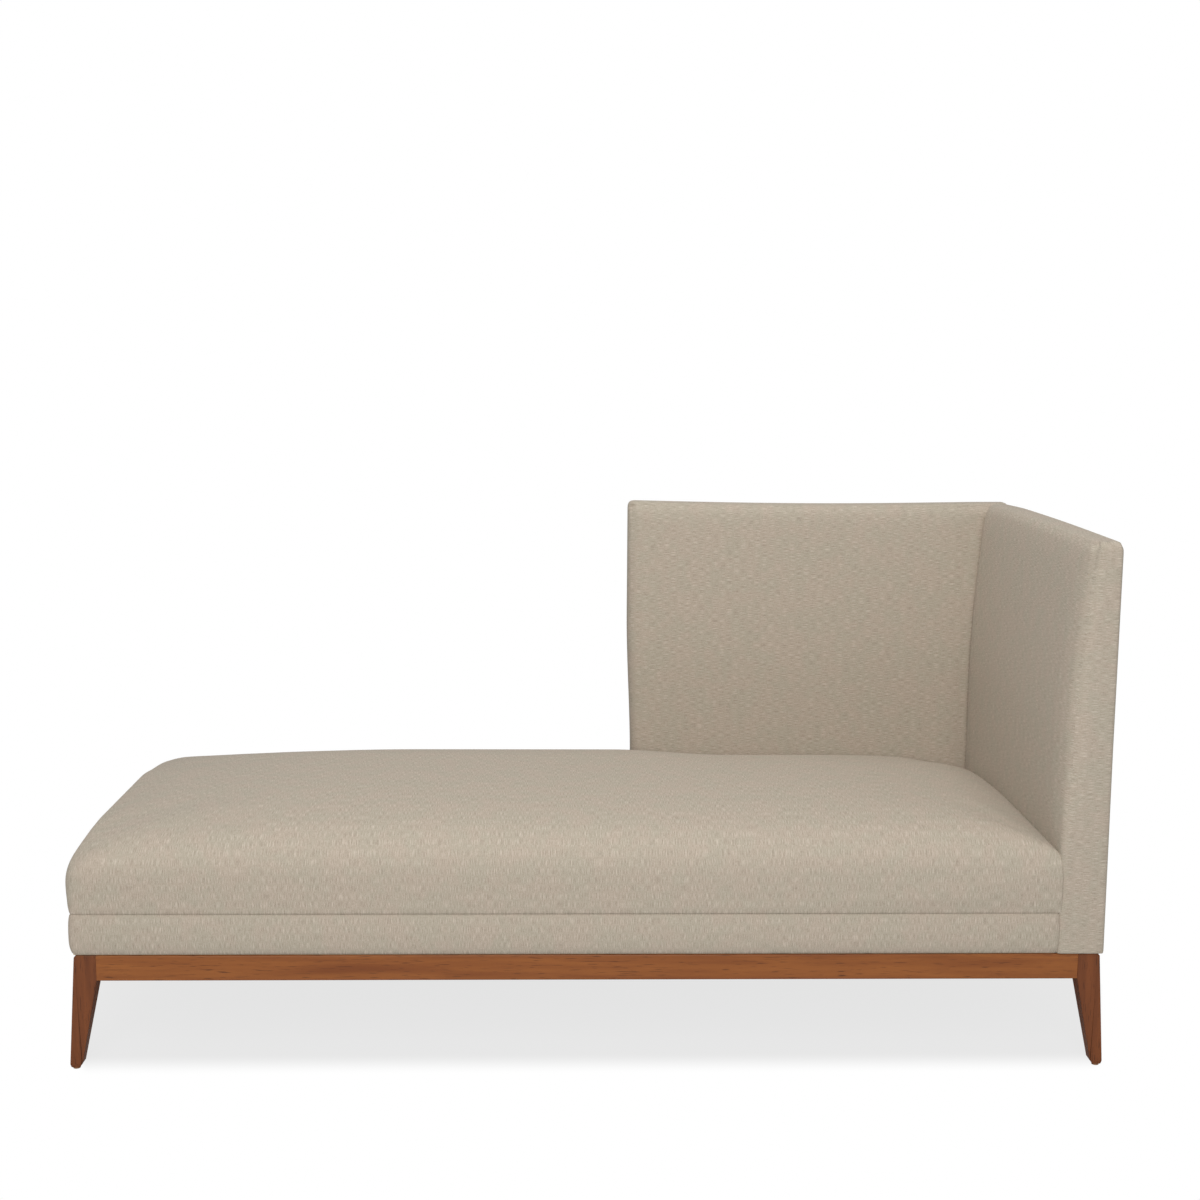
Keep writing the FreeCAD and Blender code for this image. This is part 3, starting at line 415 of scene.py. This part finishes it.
def eased_share(value, start, end):
    """How far a value is from start to end, from 0 to 1, with soft ends."""
    t = min(max((value - start) / (end - start), 0.0), 1.0)
    return t * t * (3 - 2 * t)


seam_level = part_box("seat_cover")[0].z
base_left, base_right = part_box("left_rail")[0].x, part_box("seat_cover")[1].x + PRESSED
base_front, base_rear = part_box("front_rail")[0].y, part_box("rear_rail")[1].y
back_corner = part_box("back_cover")[0]
notch_x, notch_y = back_corner.x - NOTCH_GAP, back_corner.y - NOTCH_GAP
columns, rows = 2 * RINGS + TOP_COLUMNS, 2 * RINGS + TOP_ROWS


def spacing(first, last, between):
    """Where the lines of the cover's net lie, counted from one side, never closer than a small cell."""
    at = [0.0]
    for ring in range(RINGS):
        at.append(at[-1] + max(flowing(first, ring + 1) - flowing(first, ring), LEAST_CELL * MM))
    for _ in range(between):
        at.append(at[-1] + TOP_CELL * MM)
    for ring in range(RINGS, 0, -1):
        at.append(at[-1] + max(flowing(last, ring) - flowing(last, ring - 1), LEAST_CELL * MM))
    return at


across = spacing(LEFT_INSET, RIGHT_INSET, TOP_COLUMNS)
deep = spacing(FRONT_INSET, REAR_INSET, TOP_ROWS)
notch_share = (notch_x - base_left) / (base_right - base_left)
notch_column = min(range(columns), key=lambda i: abs(across[i] / across[-1] - notch_share))


def share_of(at, first, last, place):
    """How far a line of the net is from a first one to a last one, from 0 to 1."""
    return (at[place] - at[first]) / (at[last] - at[first])


def sunk_by(x, y, z):
    """How far a place on the full crown sinks, towards the free end and towards the back and the arm."""
    near_top = min(max((z - seam_level - SINK_FROM) / SINK_OVER, 0.0), 1.0)
    near_end = max(1 - (x - base_left) / END_REACH, 0.0) ** 2
    near_back = max(1 - max(notch_y - y, 0.0) / BACK_REACH, 0.0) ** 2
    drop = BACK_DROP * eased_share(x - notch_x, *BACK_START)
    drop += CORNER_DROP * eased_share(x - base_right, *CORNER_START)
    return near_top * (END_DROP * near_end + drop * near_back)


def tucked_by(x, y, z, beside_back):
    """How far the cover is pushed down where it lies against the arm or the back."""
    from_arm = (base_right - x) / TUCK_REACH
    from_back = (notch_y - y) / TUCK_REACH if beside_back else 1.0
    tuck = TUCK * (max(1 - from_arm, 0.0) ** 2 + max(1 - from_back, 0.0) ** 2)
    return tuck * eased_share(z, seam_level + TUCK_FROM, seam_level + 2 * TUCK_FROM)


def crown_point(column, row):
    """Where a knot of the cover's net lies on the full seat."""
    ring = min(column, columns - column, row, rows - row, RINGS)
    left = base_left + flowing(LEFT_INSET, ring)
    right = base_right - flowing(RIGHT_INSET, ring)
    front = base_front + flowing(FRONT_INSET, ring)
    rear = base_rear - flowing(REAR_INSET, ring)
    if column > notch_column:
        rear = min(rear, notch_y)
        x = notch_x + 0.001
        x += (right - x) * share_of(across, notch_column + 1, columns - ring, column)
    else:
        x = left + (notch_x - left) * share_of(across, ring, notch_column, column)
    y = front + (rear - front) * share_of(deep, ring, rows - ring, row)
    z = seam_level + flowing(RING_HEIGHT, ring)
    z -= sunk_by(x, y, z)
    z -= tucked_by(x, y, z, column > notch_column)
    right_round = min(1.0, flowing(RIGHT_INSET, ring) / ROUND_FROM)
    for corner_x, side_x, round_share in ((left, 1, 1.0), (right, -1, right_round)):
        for corner_y, side_y in ((front, 1), (rear, -1)):
            radius = flowing(CORNER_ROUND, ring) * round_share
            along_x, along_y = (x - corner_x) * side_x, (y - corner_y) * side_y
            if radius > MERGE and along_x < radius and along_y < radius and min(along_x, along_y) < MERGE:
                turn = (1 + (along_y - along_x) / radius) * math.pi / 4
                x = corner_x + side_x * radius * (1 - math.sin(turn))
                y = corner_y + side_y * radius * (1 - math.cos(turn))
                return Vector((x, y, z))
    return Vector((x, y, z))


def close_rim(bm):
    """Closes each open edge of a cover with a lid that has a narrow turned hem."""
    rim = [e for e in bm.edges if e.is_boundary]
    if rim:
        lids = bmesh.ops.holes_fill(bm, edges=rim)["faces"]
        bmesh.ops.recalc_face_normals(bm, faces=bm.faces)
        bmesh.ops.inset_region(bm, faces=lids, thickness=HEM, use_even_offset=True)
        bmesh.ops.triangulate(bm, faces=lids)
    bmesh.ops.recalc_face_normals(bm, faces=bm.faces)


PRESSURE = 4.0
SIM_FRAMES = 20
FABRIC_MASS = 0.3
STRETCH = 40
SHEAR = 15
BENDING = 4


def press_out(piece, held, swell):
    """The foam fills the cover by a swell at most, where no seam, staple or neighbour holds it."""
    rest = [v.co.copy() for v in piece.data.vertices]
    pins = piece.vertex_groups.new(name="held")
    for vertex in piece.data.vertices:
        pins.add([vertex.index], held(vertex.co), "REPLACE")
    cloth = piece.modifiers.new("cover", "CLOTH")
    cloth.point_cache.frame_start, cloth.point_cache.frame_end = 1, SIM_FRAMES
    fabric = cloth.settings
    fabric.quality = 5
    fabric.mass = FABRIC_MASS
    fabric.tension_stiffness = fabric.compression_stiffness = STRETCH
    fabric.shear_stiffness = SHEAR
    fabric.bending_stiffness = BENDING
    fabric.vertex_group_mass = "held"
    fabric.use_pressure = True
    fabric.uniform_pressure_force = PRESSURE
    fabric.effector_weights.gravity = 0
    for frame_number in range(1, SIM_FRAMES + 1):
        bpy.context.scene.frame_set(frame_number)
    pressed = piece.evaluated_get(bpy.context.evaluated_depsgraph_get()).data
    moved = [v.co.copy() for v in pressed.vertices]
    piece.modifiers.remove(cloth)
    piece.vertex_groups.remove(pins)
    for vertex, start, end in zip(piece.data.vertices, rest, moved):
        way = end - start
        vertex.co = start + way * min(1.0, swell / max(way.length, MERGE * MM))
    bpy.context.scene.frame_set(1)


def lay_cloth(mesh, upright, over):
    """Lays the fabric on a piece: u crosses the warp and v follows it, in metres.
    Upright cloth has its warp up and down the sides, and other cloth has it level. Over is the axis that the
    warp follows on top."""
    layer = mesh.uv_layers.new(name="cloth")
    for face in mesh.polygons:
        facing = max(range(3), key=lambda axis: abs(face.normal[axis]))
        if facing == 2:
            warp, weft = over, 1 - over
        elif upright:
            warp, weft = 2, 1 - facing
        else:
            warp, weft = 1 - facing, 2
        for corner in face.loop_indices:
            place = mesh.vertices[mesh.loops[corner].vertex_index].co
            layer.data[corner].uv = (place[weft], place[warp])


def upholster(name, bm, held, swell, upright, over, stands_for):
    """A cover from its net: filled out by the foam, smoothed once, and given its fabric."""
    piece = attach(made(name, bm, chenille), "root")
    press_out(piece, held, swell)
    smoother = piece.modifiers.new("smooth", "SUBSURF")
    smoother.levels = smoother.render_levels = 1
    shaped = bpy.data.meshes.new_from_object(piece.evaluated_get(bpy.context.evaluated_depsgraph_get()))
    piece.modifiers.clear()
    piece.data = shaped
    shaped.name = name
    lay_cloth(shaped, upright, over)
    shaped.shade_smooth()
    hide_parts(*stands_for)


SEAM_HOLDS = (0.008, 0.03)
SIDES_HOLD = (0.001, 0.03)


def seat_held(place):
    """The cover is held by the seam at its lower edge, and by the arm and the back beside it."""
    seam = 1 - eased_share(place.z - seam_level, *SEAM_HOLDS)
    arm = 1 - eased_share(base_right - place.x, *SIDES_HOLD)
    back = 1 - eased_share(notch_y - place.y, *SIDES_HOLD) if place.x > notch_x else 0.0
    return max(seam, arm, back)


crown = bmesh.new()
bmesh.ops.create_grid(crown, x_segments=columns, y_segments=rows, size=1.0)
for knot in crown.verts:
    column = round((knot.co.x + 1) / 2 * columns)
    row = round((knot.co.y + 1) / 2 * rows)
    knot.co = crown_point(column, row)
close_rim(crown)
upholster(
    "seat_crown",
    crown,
    seat_held,
    swell=0.0015,
    upright=True,
    over=1,
    stands_for=("seat_cover", "seat_foam"),
)


# The band round the seat frame, a strip of the same fabric over thin padding. It is sewn to the seat cover
# at the top, pulled down over the frame and stapled beneath it, so that its lower edge is soft.
BAND_OUT = 0.005
BAND_SWELL = 0.0032
BAND_TURN = 0.003
BAND_LEVELS = 8
BAND_CORNER = 0.01
BAND_CELL = 0.016
BAND_DROP = 0.0022
CORNER_STEPS = 5
INTO_SEAM = 0.002
EDGES_HOLD = (0.006, 0.016)
ENDS_HOLD = (0.002, 0.02)
band_low, band_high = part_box("seat_band")
band_high.x += PRESSED
band_high.z = seam_level + INTO_SEAM
band_bottom = band_low.z - BAND_DROP
band_tall = band_high.z - band_bottom


def band_reach(share):
    """How far the band stands out at a share of its height, least at its lower edge and at the seam."""
    return BAND_SWELL * (1 - abs(2 * share - 1) ** 3) - BAND_TURN * (1 - eased_share(share, 0.0, 0.2))


band = bmesh.new()
near, far = base_front - BAND_OUT, base_rear + BAND_OUT
left_line = base_left - BAND_OUT
plan = [
    (left_line, near),
    (band_high.x, near),
    (band_high.x, notch_y),
    (notch_x, notch_y),
    (notch_x, far),
    (left_line, far),
]
corners = [band.verts.new((x, y, band_bottom)) for x, y in plan]
for i, corner in enumerate(corners):
    band.edges.new((corner, corners[(i + 1) % len(corners)]))
bevelled(band, [corners[0], corners[-1]], BAND_CORNER, CORNER_STEPS)
for edge in [e for e in band.edges if e.calc_length() > 2 * BAND_CELL]:
    bmesh.ops.subdivide_edges(band, edges=[edge], cuts=int(edge.calc_length() / BAND_CELL))
level_edges = list(band.edges)
for level in range(BAND_LEVELS):
    raised = bmesh.ops.extrude_edge_only(band, edges=level_edges)["geom"]
    level_edges = [e for e in raised if isinstance(e, bmesh.types.BMEdge)]
    lifted = [v for v in raised if isinstance(v, bmesh.types.BMVert)]
    bmesh.ops.translate(band, vec=(0, 0, band_tall / BAND_LEVELS), verts=lifted)
bmesh.ops.recalc_face_normals(band, faces=band.faces)
band.normal_update()
outward = {v: Vector((v.normal.x, v.normal.y, 0)).normalized() for v in band.verts}
for v in band.verts:
    in_front = v.co.y < near + BAND_CORNER
    on_show = in_front or v.co.x < left_line + BAND_CORNER or v.co.y > far - BAND_CORNER
    if in_front or on_show and v.co.x < notch_x - MM:
        v.co += outward[v] * band_reach((v.co.z - band_bottom) / band_tall)
close_rim(band)


def band_held(place):
    """The band is held along its seam and its lower edge, and where it meets the arm and the back."""
    edge = min(place.z - band_bottom, band_high.z - place.z)
    ends = min(abs(place.x - band_high.x), abs(place.x - notch_x) if place.y > 0 else 1.0)
    return max(1 - eased_share(edge, *EDGES_HOLD), 1 - eased_share(ends, *ENDS_HOLD))


upholster(
    "seat_band_cloth",
    band,
    band_held,
    swell=0.002,
    upright=True,
    over=1,
    stands_for=("seat_band",),
)


# The arm and the back, two upright slabs: timber frames faced with thin panels, padded with foam and covered
# in the same fabric, laid level. Each thins towards its top on the inner side, and its edges are soft.
EDGE_LINES = (0.003, 0.007, 0.012, 0.018, 0.026, 0.034)
SLAB_CELL = 0.015
LOW_ROUND = 0.008
INNER_ROUND = (0.034, 0.042)
SEAT_SIDE = 0.07
CLEAR_OF_SEAT = 0.27
LEAN = 0.36
LEAN_FROM = 0.328
LEAN_CURVE = 1.6
FRAME_HOLDS = (0.012, 0.04)


def lean(below_top, thickness):
    """How far a slab's inner face has drawn back at a height."""
    if below_top > LEAN_FROM:
        return 0.0
    return LEAN * thickness * (1 - below_top / LEAN_FROM) ** LEAN_CURVE


def slab(low, high):
    """A closed block cut into cells, which are small near its edges so that these can be rounded."""
    bm = bmesh.new()
    bmesh.ops.create_cube(bm, size=1.0)
    bmesh.ops.scale(bm, vec=high - low, verts=bm.verts)
    bmesh.ops.translate(bm, vec=(low + high) / 2, verts=bm.verts)
    for axis in range(3):
        size = high[axis] - low[axis]
        middle = size - 2 * EDGE_LINES[-1]
        count = int(middle / SLAB_CELL)
        lines = [*EDGE_LINES, *(size - line for line in EDGE_LINES)]
        lines += [EDGE_LINES[-1] + middle * i / count for i in range(1, count)]
        way = Vector((0, 0, 0))
        way[axis] = 1.0
        for line in lines:
            geometry = [*bm.verts, *bm.edges, *bm.faces]
            bmesh.ops.bisect_plane(bm, geom=geometry, plane_co=low + way * line, plane_no=way)
    return bm


def round_off(place, low, high, axes, sides, radii):
    """Rounds one edge of a slab, which may reach further along one face than along the other."""
    gaps = []
    for axis, side, radius in zip(axes, sides, radii):
        depth = high[axis] - place[axis] if side > 0 else place[axis] - low[axis]
        gaps.append(1 - depth / radius)
    if min(gaps) <= 0:
        return
    drawn_in = max(gaps) / math.hypot(*gaps)
    for axis, side, gap, radius in zip(axes, sides, gaps, radii):
        place[axis] -= side * gap * radius * (1 - drawn_in)


def slab_held(low, high):
    """A slab's cover is held along the edges of its frame."""

    def held(place):
        """How firmly a place is held, by its distance from the nearest edge."""
        gaps = sorted(min(place[axis] - low[axis], high[axis] - place[axis]) for axis in range(3))
        return 1 - eased_share(gaps[1], *FRAME_HOLDS)

    return held


# Each edge is named by the axes that cross it, the side of each that it lies on, and its radius.
ARM_EDGES = (
    ((0, 1), (1, -1), 0.01),
    ((0, 1), (-1, 1), 0.006),
    ((0, 1), (1, 1), 0.012),
    ((0, 2), (-1, 1), 0.02),
    ((0, 2), (1, 1), 0.013),
    ((1, 2), (-1, 1), 0.014),
    ((1, 2), (1, 1), 0.012),
    ((0, 2), (1, -1), 0.004),
    ((1, 2), (-1, -1), 0.004),
    ((1, 2), (1, -1), 0.004),
)
WAIST = 0.002
WAIST_AT = 0.35
ARM_CROWN = 0.0025
ARM_ABOVE_BACK = 0.0015
REAR_DROP = 0.003
REAR_FROM = 0.75
CROWN_RISE = (0.2, 0.5)
arm_low, arm_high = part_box("arm_cover")
arm_high.z += ARM_ABOVE_BACK
arm_thick = arm_high.x - arm_low.x
arm = slab(arm_low, arm_high)
for v in arm.verts:
    above_seat = eased_share(v.co.z - seam_level, SEAT_SIDE, CLEAR_OF_SEAT)
    across_arm = (v.co.x - arm_low.x) / arm_thick
    rise = v.co.z - arm_low.z
    for axes, sides, radius in ARM_EDGES:
        round_off(v.co, arm_low, arm_high, axes, sides, (radius, radius))
    inner_round = [LOW_ROUND + (size - LOW_ROUND) * above_seat for size in INNER_ROUND]
    round_off(v.co, arm_low, arm_high, (0, 1), (-1, -1), inner_round)
    along = (v.co.y - arm_low.y) / (arm_high.y - arm_low.y)
    lift = ARM_CROWN * math.sin(math.pi * along) - REAR_DROP * eased_share(along, REAR_FROM, 1.0)
    v.co.z += lift * eased_share(rise, *CROWN_RISE)
    v.co.x += (1 - across_arm) * lean(arm_high.z - v.co.z, arm_thick)
    v.co.x -= across_arm * WAIST * min(rise / WAIST_AT, 1.0)
upholster(
    "arm_cloth",
    arm,
    slab_held(arm_low, arm_high),
    swell=0.002,
    upright=False,
    over=1,
    stands_for=("arm_cover", "arm_foam"),
)

BACK_EDGES = (
    ((0, 1), (-1, -1), 0.028),
    ((0, 1), (-1, 1), 0.012),
    ((0, 1), (1, -1), 0.009),
    ((1, 2), (-1, 1), 0.022),
    ((1, 2), (1, 1), 0.012),
    ((0, 2), (-1, 1), 0.012),
    ((0, 2), (-1, -1), 0.006),
    ((1, 2), (1, -1), 0.006),
)
BOW = 0.009
BOW_FROM = 0.36
BOW_OVER = 0.3
TOP_DIP = 0.004
LEFT_LIFT = 0.002
RIGHT_LIFT = 0.0016
LIFT_REACH = 0.2
END_POWER = 8
INTO_ARM = 0.001
HIDDEN_END = 0.04
HIDDEN_FROM = 0.02
HIDDEN_DEPTH = (0.15, 0.4)
HIDDEN_BELOW = (0.01, 0.025)
back_low, back_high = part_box("back_cover")
back_high.x = arm_low.x + INTO_ARM
back_size = back_high - back_low
back = slab(back_low, back_high)
for v in back.verts:
    deep_in = (v.co.y - back_low.y) / back_size.y
    along = (v.co.x - back_low.x) / back_size.x
    below = back_high.z - v.co.z
    for axes, sides, radius in BACK_EDGES:
        round_off(v.co, back_low, back_high, axes, sides, (radius, radius))
    behind = max(eased_share(deep_in, *HIDDEN_DEPTH), 1 - eased_share(below, *HIDDEN_BELOW))
    bow = BOW * eased_share(below, back_high.z - BOW_FROM - BOW_OVER, back_high.z - BOW_FROM)
    lift = LEFT_LIFT * (1 - along) + RIGHT_LIFT * along**4 - TOP_DIP * math.sin(math.pi * along)
    v.co.x += HIDDEN_END * behind * eased_share(v.co.x, back_high.x - HIDDEN_FROM, back_high.x)
    v.co.x += along**END_POWER * lean(below, arm_thick) + (1 - along) ** END_POWER * bow
    v.co.y += (1 - deep_in) * lean(below, back_size.y) - deep_in * MM
    v.co.z += lift * (1 - eased_share(below, 0.0, LIFT_REACH))
upholster(
    "back_cloth",
    back,
    slab_held(back_low, back_high),
    swell=0.002,
    upright=False,
    over=0,
    stands_for=("back_cover", "back_foam"),
)


# The frames inside the arm and the back: posts and rails of the same bare timber, bolted to the seat frame,
# with a thin board glued on each side to carry the foam.
PANEL_DARK = (150, 122, 88)
PANEL_PALE = (190, 164, 126)
carried(("arm_front_post", "arm_rear_post"), bare_wood[2])
carried(("back_left_post", "back_centre_post", "back_right_post"), bare_wood[2])
carried(("arm_top_rail", "arm_foot_rail"), bare_wood[1])
carried(("back_top_rail", "back_foot_rail"), bare_wood[0])
panel_wood = wood("panel_board", PANEL_DARK, PANEL_PALE, 2, 0.7, 0.0)
carried(("arm_inner_panel", "arm_outer_panel", "back_inner_panel", "back_outer_panel"), panel_wood)


# The floor, a pale sweep that the camera sees as white. It carries a painted soft grey shadow under the base,
# which widens to the front and fades behind, and a small share of the real shadow that the lights throw.
FLOOR_SIZE = 24.0
FLOOR_WHITE = 0.62
# The grey of the painted shadow under the base, the share of real shadow kept in it, and the middle line,
# widening and edges of the painted patch.
PAINTED_SHADOW_GREY = 0.868
SHADE_SHARE = 0.12
SHADE_LINE = 0.0075
SHADE_WIDENS = 0.328
SHADE_SIDE = (0.978, 0.96)
SHADE_FRONT = (-0.385, -0.3)
SHADE_REAR = (0.5, 0.2)


def sweep():
    """A white that the camera sees, but for a painted soft shadow under the base."""
    finish, shader = new_finish("pale_floor", 0.9)
    shader.inputs["Base Color"].default_value = (FLOOR_WHITE, FLOOR_WHITE, FLOOR_WHITE, 1.0)
    place = step(finish, "TexCoord", {}).outputs["Object"]
    parts = step(finish, "SeparateXYZ", {"Vector": place})
    before = worked_out(finish, parts.outputs["Y"], 0.0, "MINIMUM")
    from_line = worked_out(finish, parts.outputs["X"], SHADE_LINE, "SUBTRACT")
    out_x = step(finish, "Math", {0: from_line}, operation="ABSOLUTE").outputs["Value"]
    beside = worked_out(finish, worked_out(finish, before, -SHADE_WIDENS, "MULTIPLY"), out_x)
    edges = ((beside, SHADE_SIDE), (parts.outputs["Y"], SHADE_FRONT), (parts.outputs["Y"], SHADE_REAR))
    # Where the painted shadow lies, faded in at its sides, its front and its rear.
    painted_shadow_mask = 1.0
    for value, (start, end) in edges:
        span = {"Value": value, "From Min": start, "From Max": end}
        edge = step(finish, "MapRange", span, interpolation_type="SMOOTHSTEP").outputs["Result"]
        painted_shadow_mask = worked_out(finish, edge, painted_shadow_mask, "MULTIPLY")
    # The camera sees white, with the painted grey shadow over the patch under the base.
    white, painted_grey = (1.0, 1.0, 1.0, 1.0), (PAINTED_SHADOW_GREY, PAINTED_SHADOW_GREY, PAINTED_SHADOW_GREY, 1.0)
    painted_floor = step(finish, "Emission", {"Color": blend_of(finish, painted_shadow_mask, white, painted_grey)})
    kept = step(finish, "MapRange", {"Value": painted_shadow_mask, "To Min": 1.0, "To Max": 1 - SHADE_SHARE})
    seen = step(finish, "LightPath", {}).outputs["Is Camera Ray"]
    share = worked_out(finish, seen, kept.outputs["Result"], "MULTIPLY")
    mixed = step(finish, "MixShader", {0: share, 1: shader.outputs["BSDF"], 2: painted_floor.outputs["Emission"]})
    out = finish.node_tree.nodes["Material Output"]
    finish.node_tree.links.new(mixed.outputs["Shader"], out.inputs["Surface"])
    return finish


floor = bmesh.new()
bmesh.ops.create_grid(floor, x_segments=1, y_segments=1, size=FLOOR_SIZE / 2)
made("floor", floor, sweep())


# The light: a wide soft one over the front, a weaker one from above, and an even white room that the camera
# sees as plain white.
ROOM_LIGHT = 0.45
world = bpy.data.worlds.new("room")
bpy.context.scene.world = world
world.use_nodes = True
room = world.node_tree
lit = room.nodes["Background"]
lit.inputs["Color"].default_value = (1.0, 1.0, 1.0, 1.0)
lit.inputs["Strength"].default_value = ROOM_LIGHT
white_page = room.nodes.new("ShaderNodeBackground")
white_page.inputs["Color"].default_value = (1.0, 1.0, 1.0, 1.0)
white_page.inputs["Strength"].default_value = 1.0
chosen = room.nodes.new("ShaderNodeMixShader")
room.links.new(room.nodes.new("ShaderNodeLightPath").outputs["Is Camera Ray"], chosen.inputs[0])
room.links.new(lit.outputs["Background"], chosen.inputs[1])
room.links.new(white_page.outputs["Background"], chosen.inputs[2])
room.links.new(chosen.outputs["Shader"], room.nodes["World Output"].inputs["Surface"])


def soft_light(name, place, aim, size, power):
    """A square soft light, turned towards a point."""
    lamp = bpy.data.lights.new(name, "AREA")
    lamp.size = size
    lamp.energy = power
    fitting = bpy.data.objects.new(name, lamp)
    bpy.context.scene.collection.objects.link(fitting)
    fitting.location = place
    fitting.rotation_mode = "QUATERNION"
    fitting.rotation_quaternion = (Vector(aim) - Vector(place)).to_track_quat("-Z", "Y")


LIT_POINT = (0.0, 0.0, 0.4)
soft_light("front_light", (-0.2, -3.5, 2.3), LIT_POINT, size=2.6, power=91)
soft_light("top_light", (-0.1, 0.1, 3.4), LIT_POINT, size=1.6, power=28)


# The camera, at the height and distance that the photograph was taken from, a little right of square to the
# front and dipped towards the seat.
CAMERA_PLACE = (-0.04985, -2.98479, 1.18805)
CAMERA_YAW = 0.0236019
CAMERA_DIP = 0.1494169
CAMERA_ROLL = -0.0064864
FOCAL_SHARE = 1654.49 / 1200
SENSOR = 36.0

view = bpy.data.cameras.new("photograph")
view.sensor_width = SENSOR
view.lens = FOCAL_SHARE * SENSOR
view.clip_end = 60.0
camera = bpy.data.objects.new("photograph", view)
bpy.context.scene.collection.objects.link(camera)
level = Vector((math.sin(CAMERA_YAW), math.cos(CAMERA_YAW), 0))
ahead = level * math.cos(CAMERA_DIP) - Vector((0, 0, math.sin(CAMERA_DIP)))
right = Vector((math.cos(CAMERA_YAW), -math.sin(CAMERA_YAW), 0))
down = ahead.cross(right)
turned_right = right * math.cos(CAMERA_ROLL) + down * math.sin(CAMERA_ROLL)
turned_down = down * math.cos(CAMERA_ROLL) - right * math.sin(CAMERA_ROLL)
turn = Matrix((turned_right, -turned_down, -ahead)).transposed()
camera.matrix_world = Matrix.Translation(CAMERA_PLACE) @ turn.to_4x4()
bpy.context.scene.camera = camera
bpy.context.scene.view_settings.view_transform = "Standard"
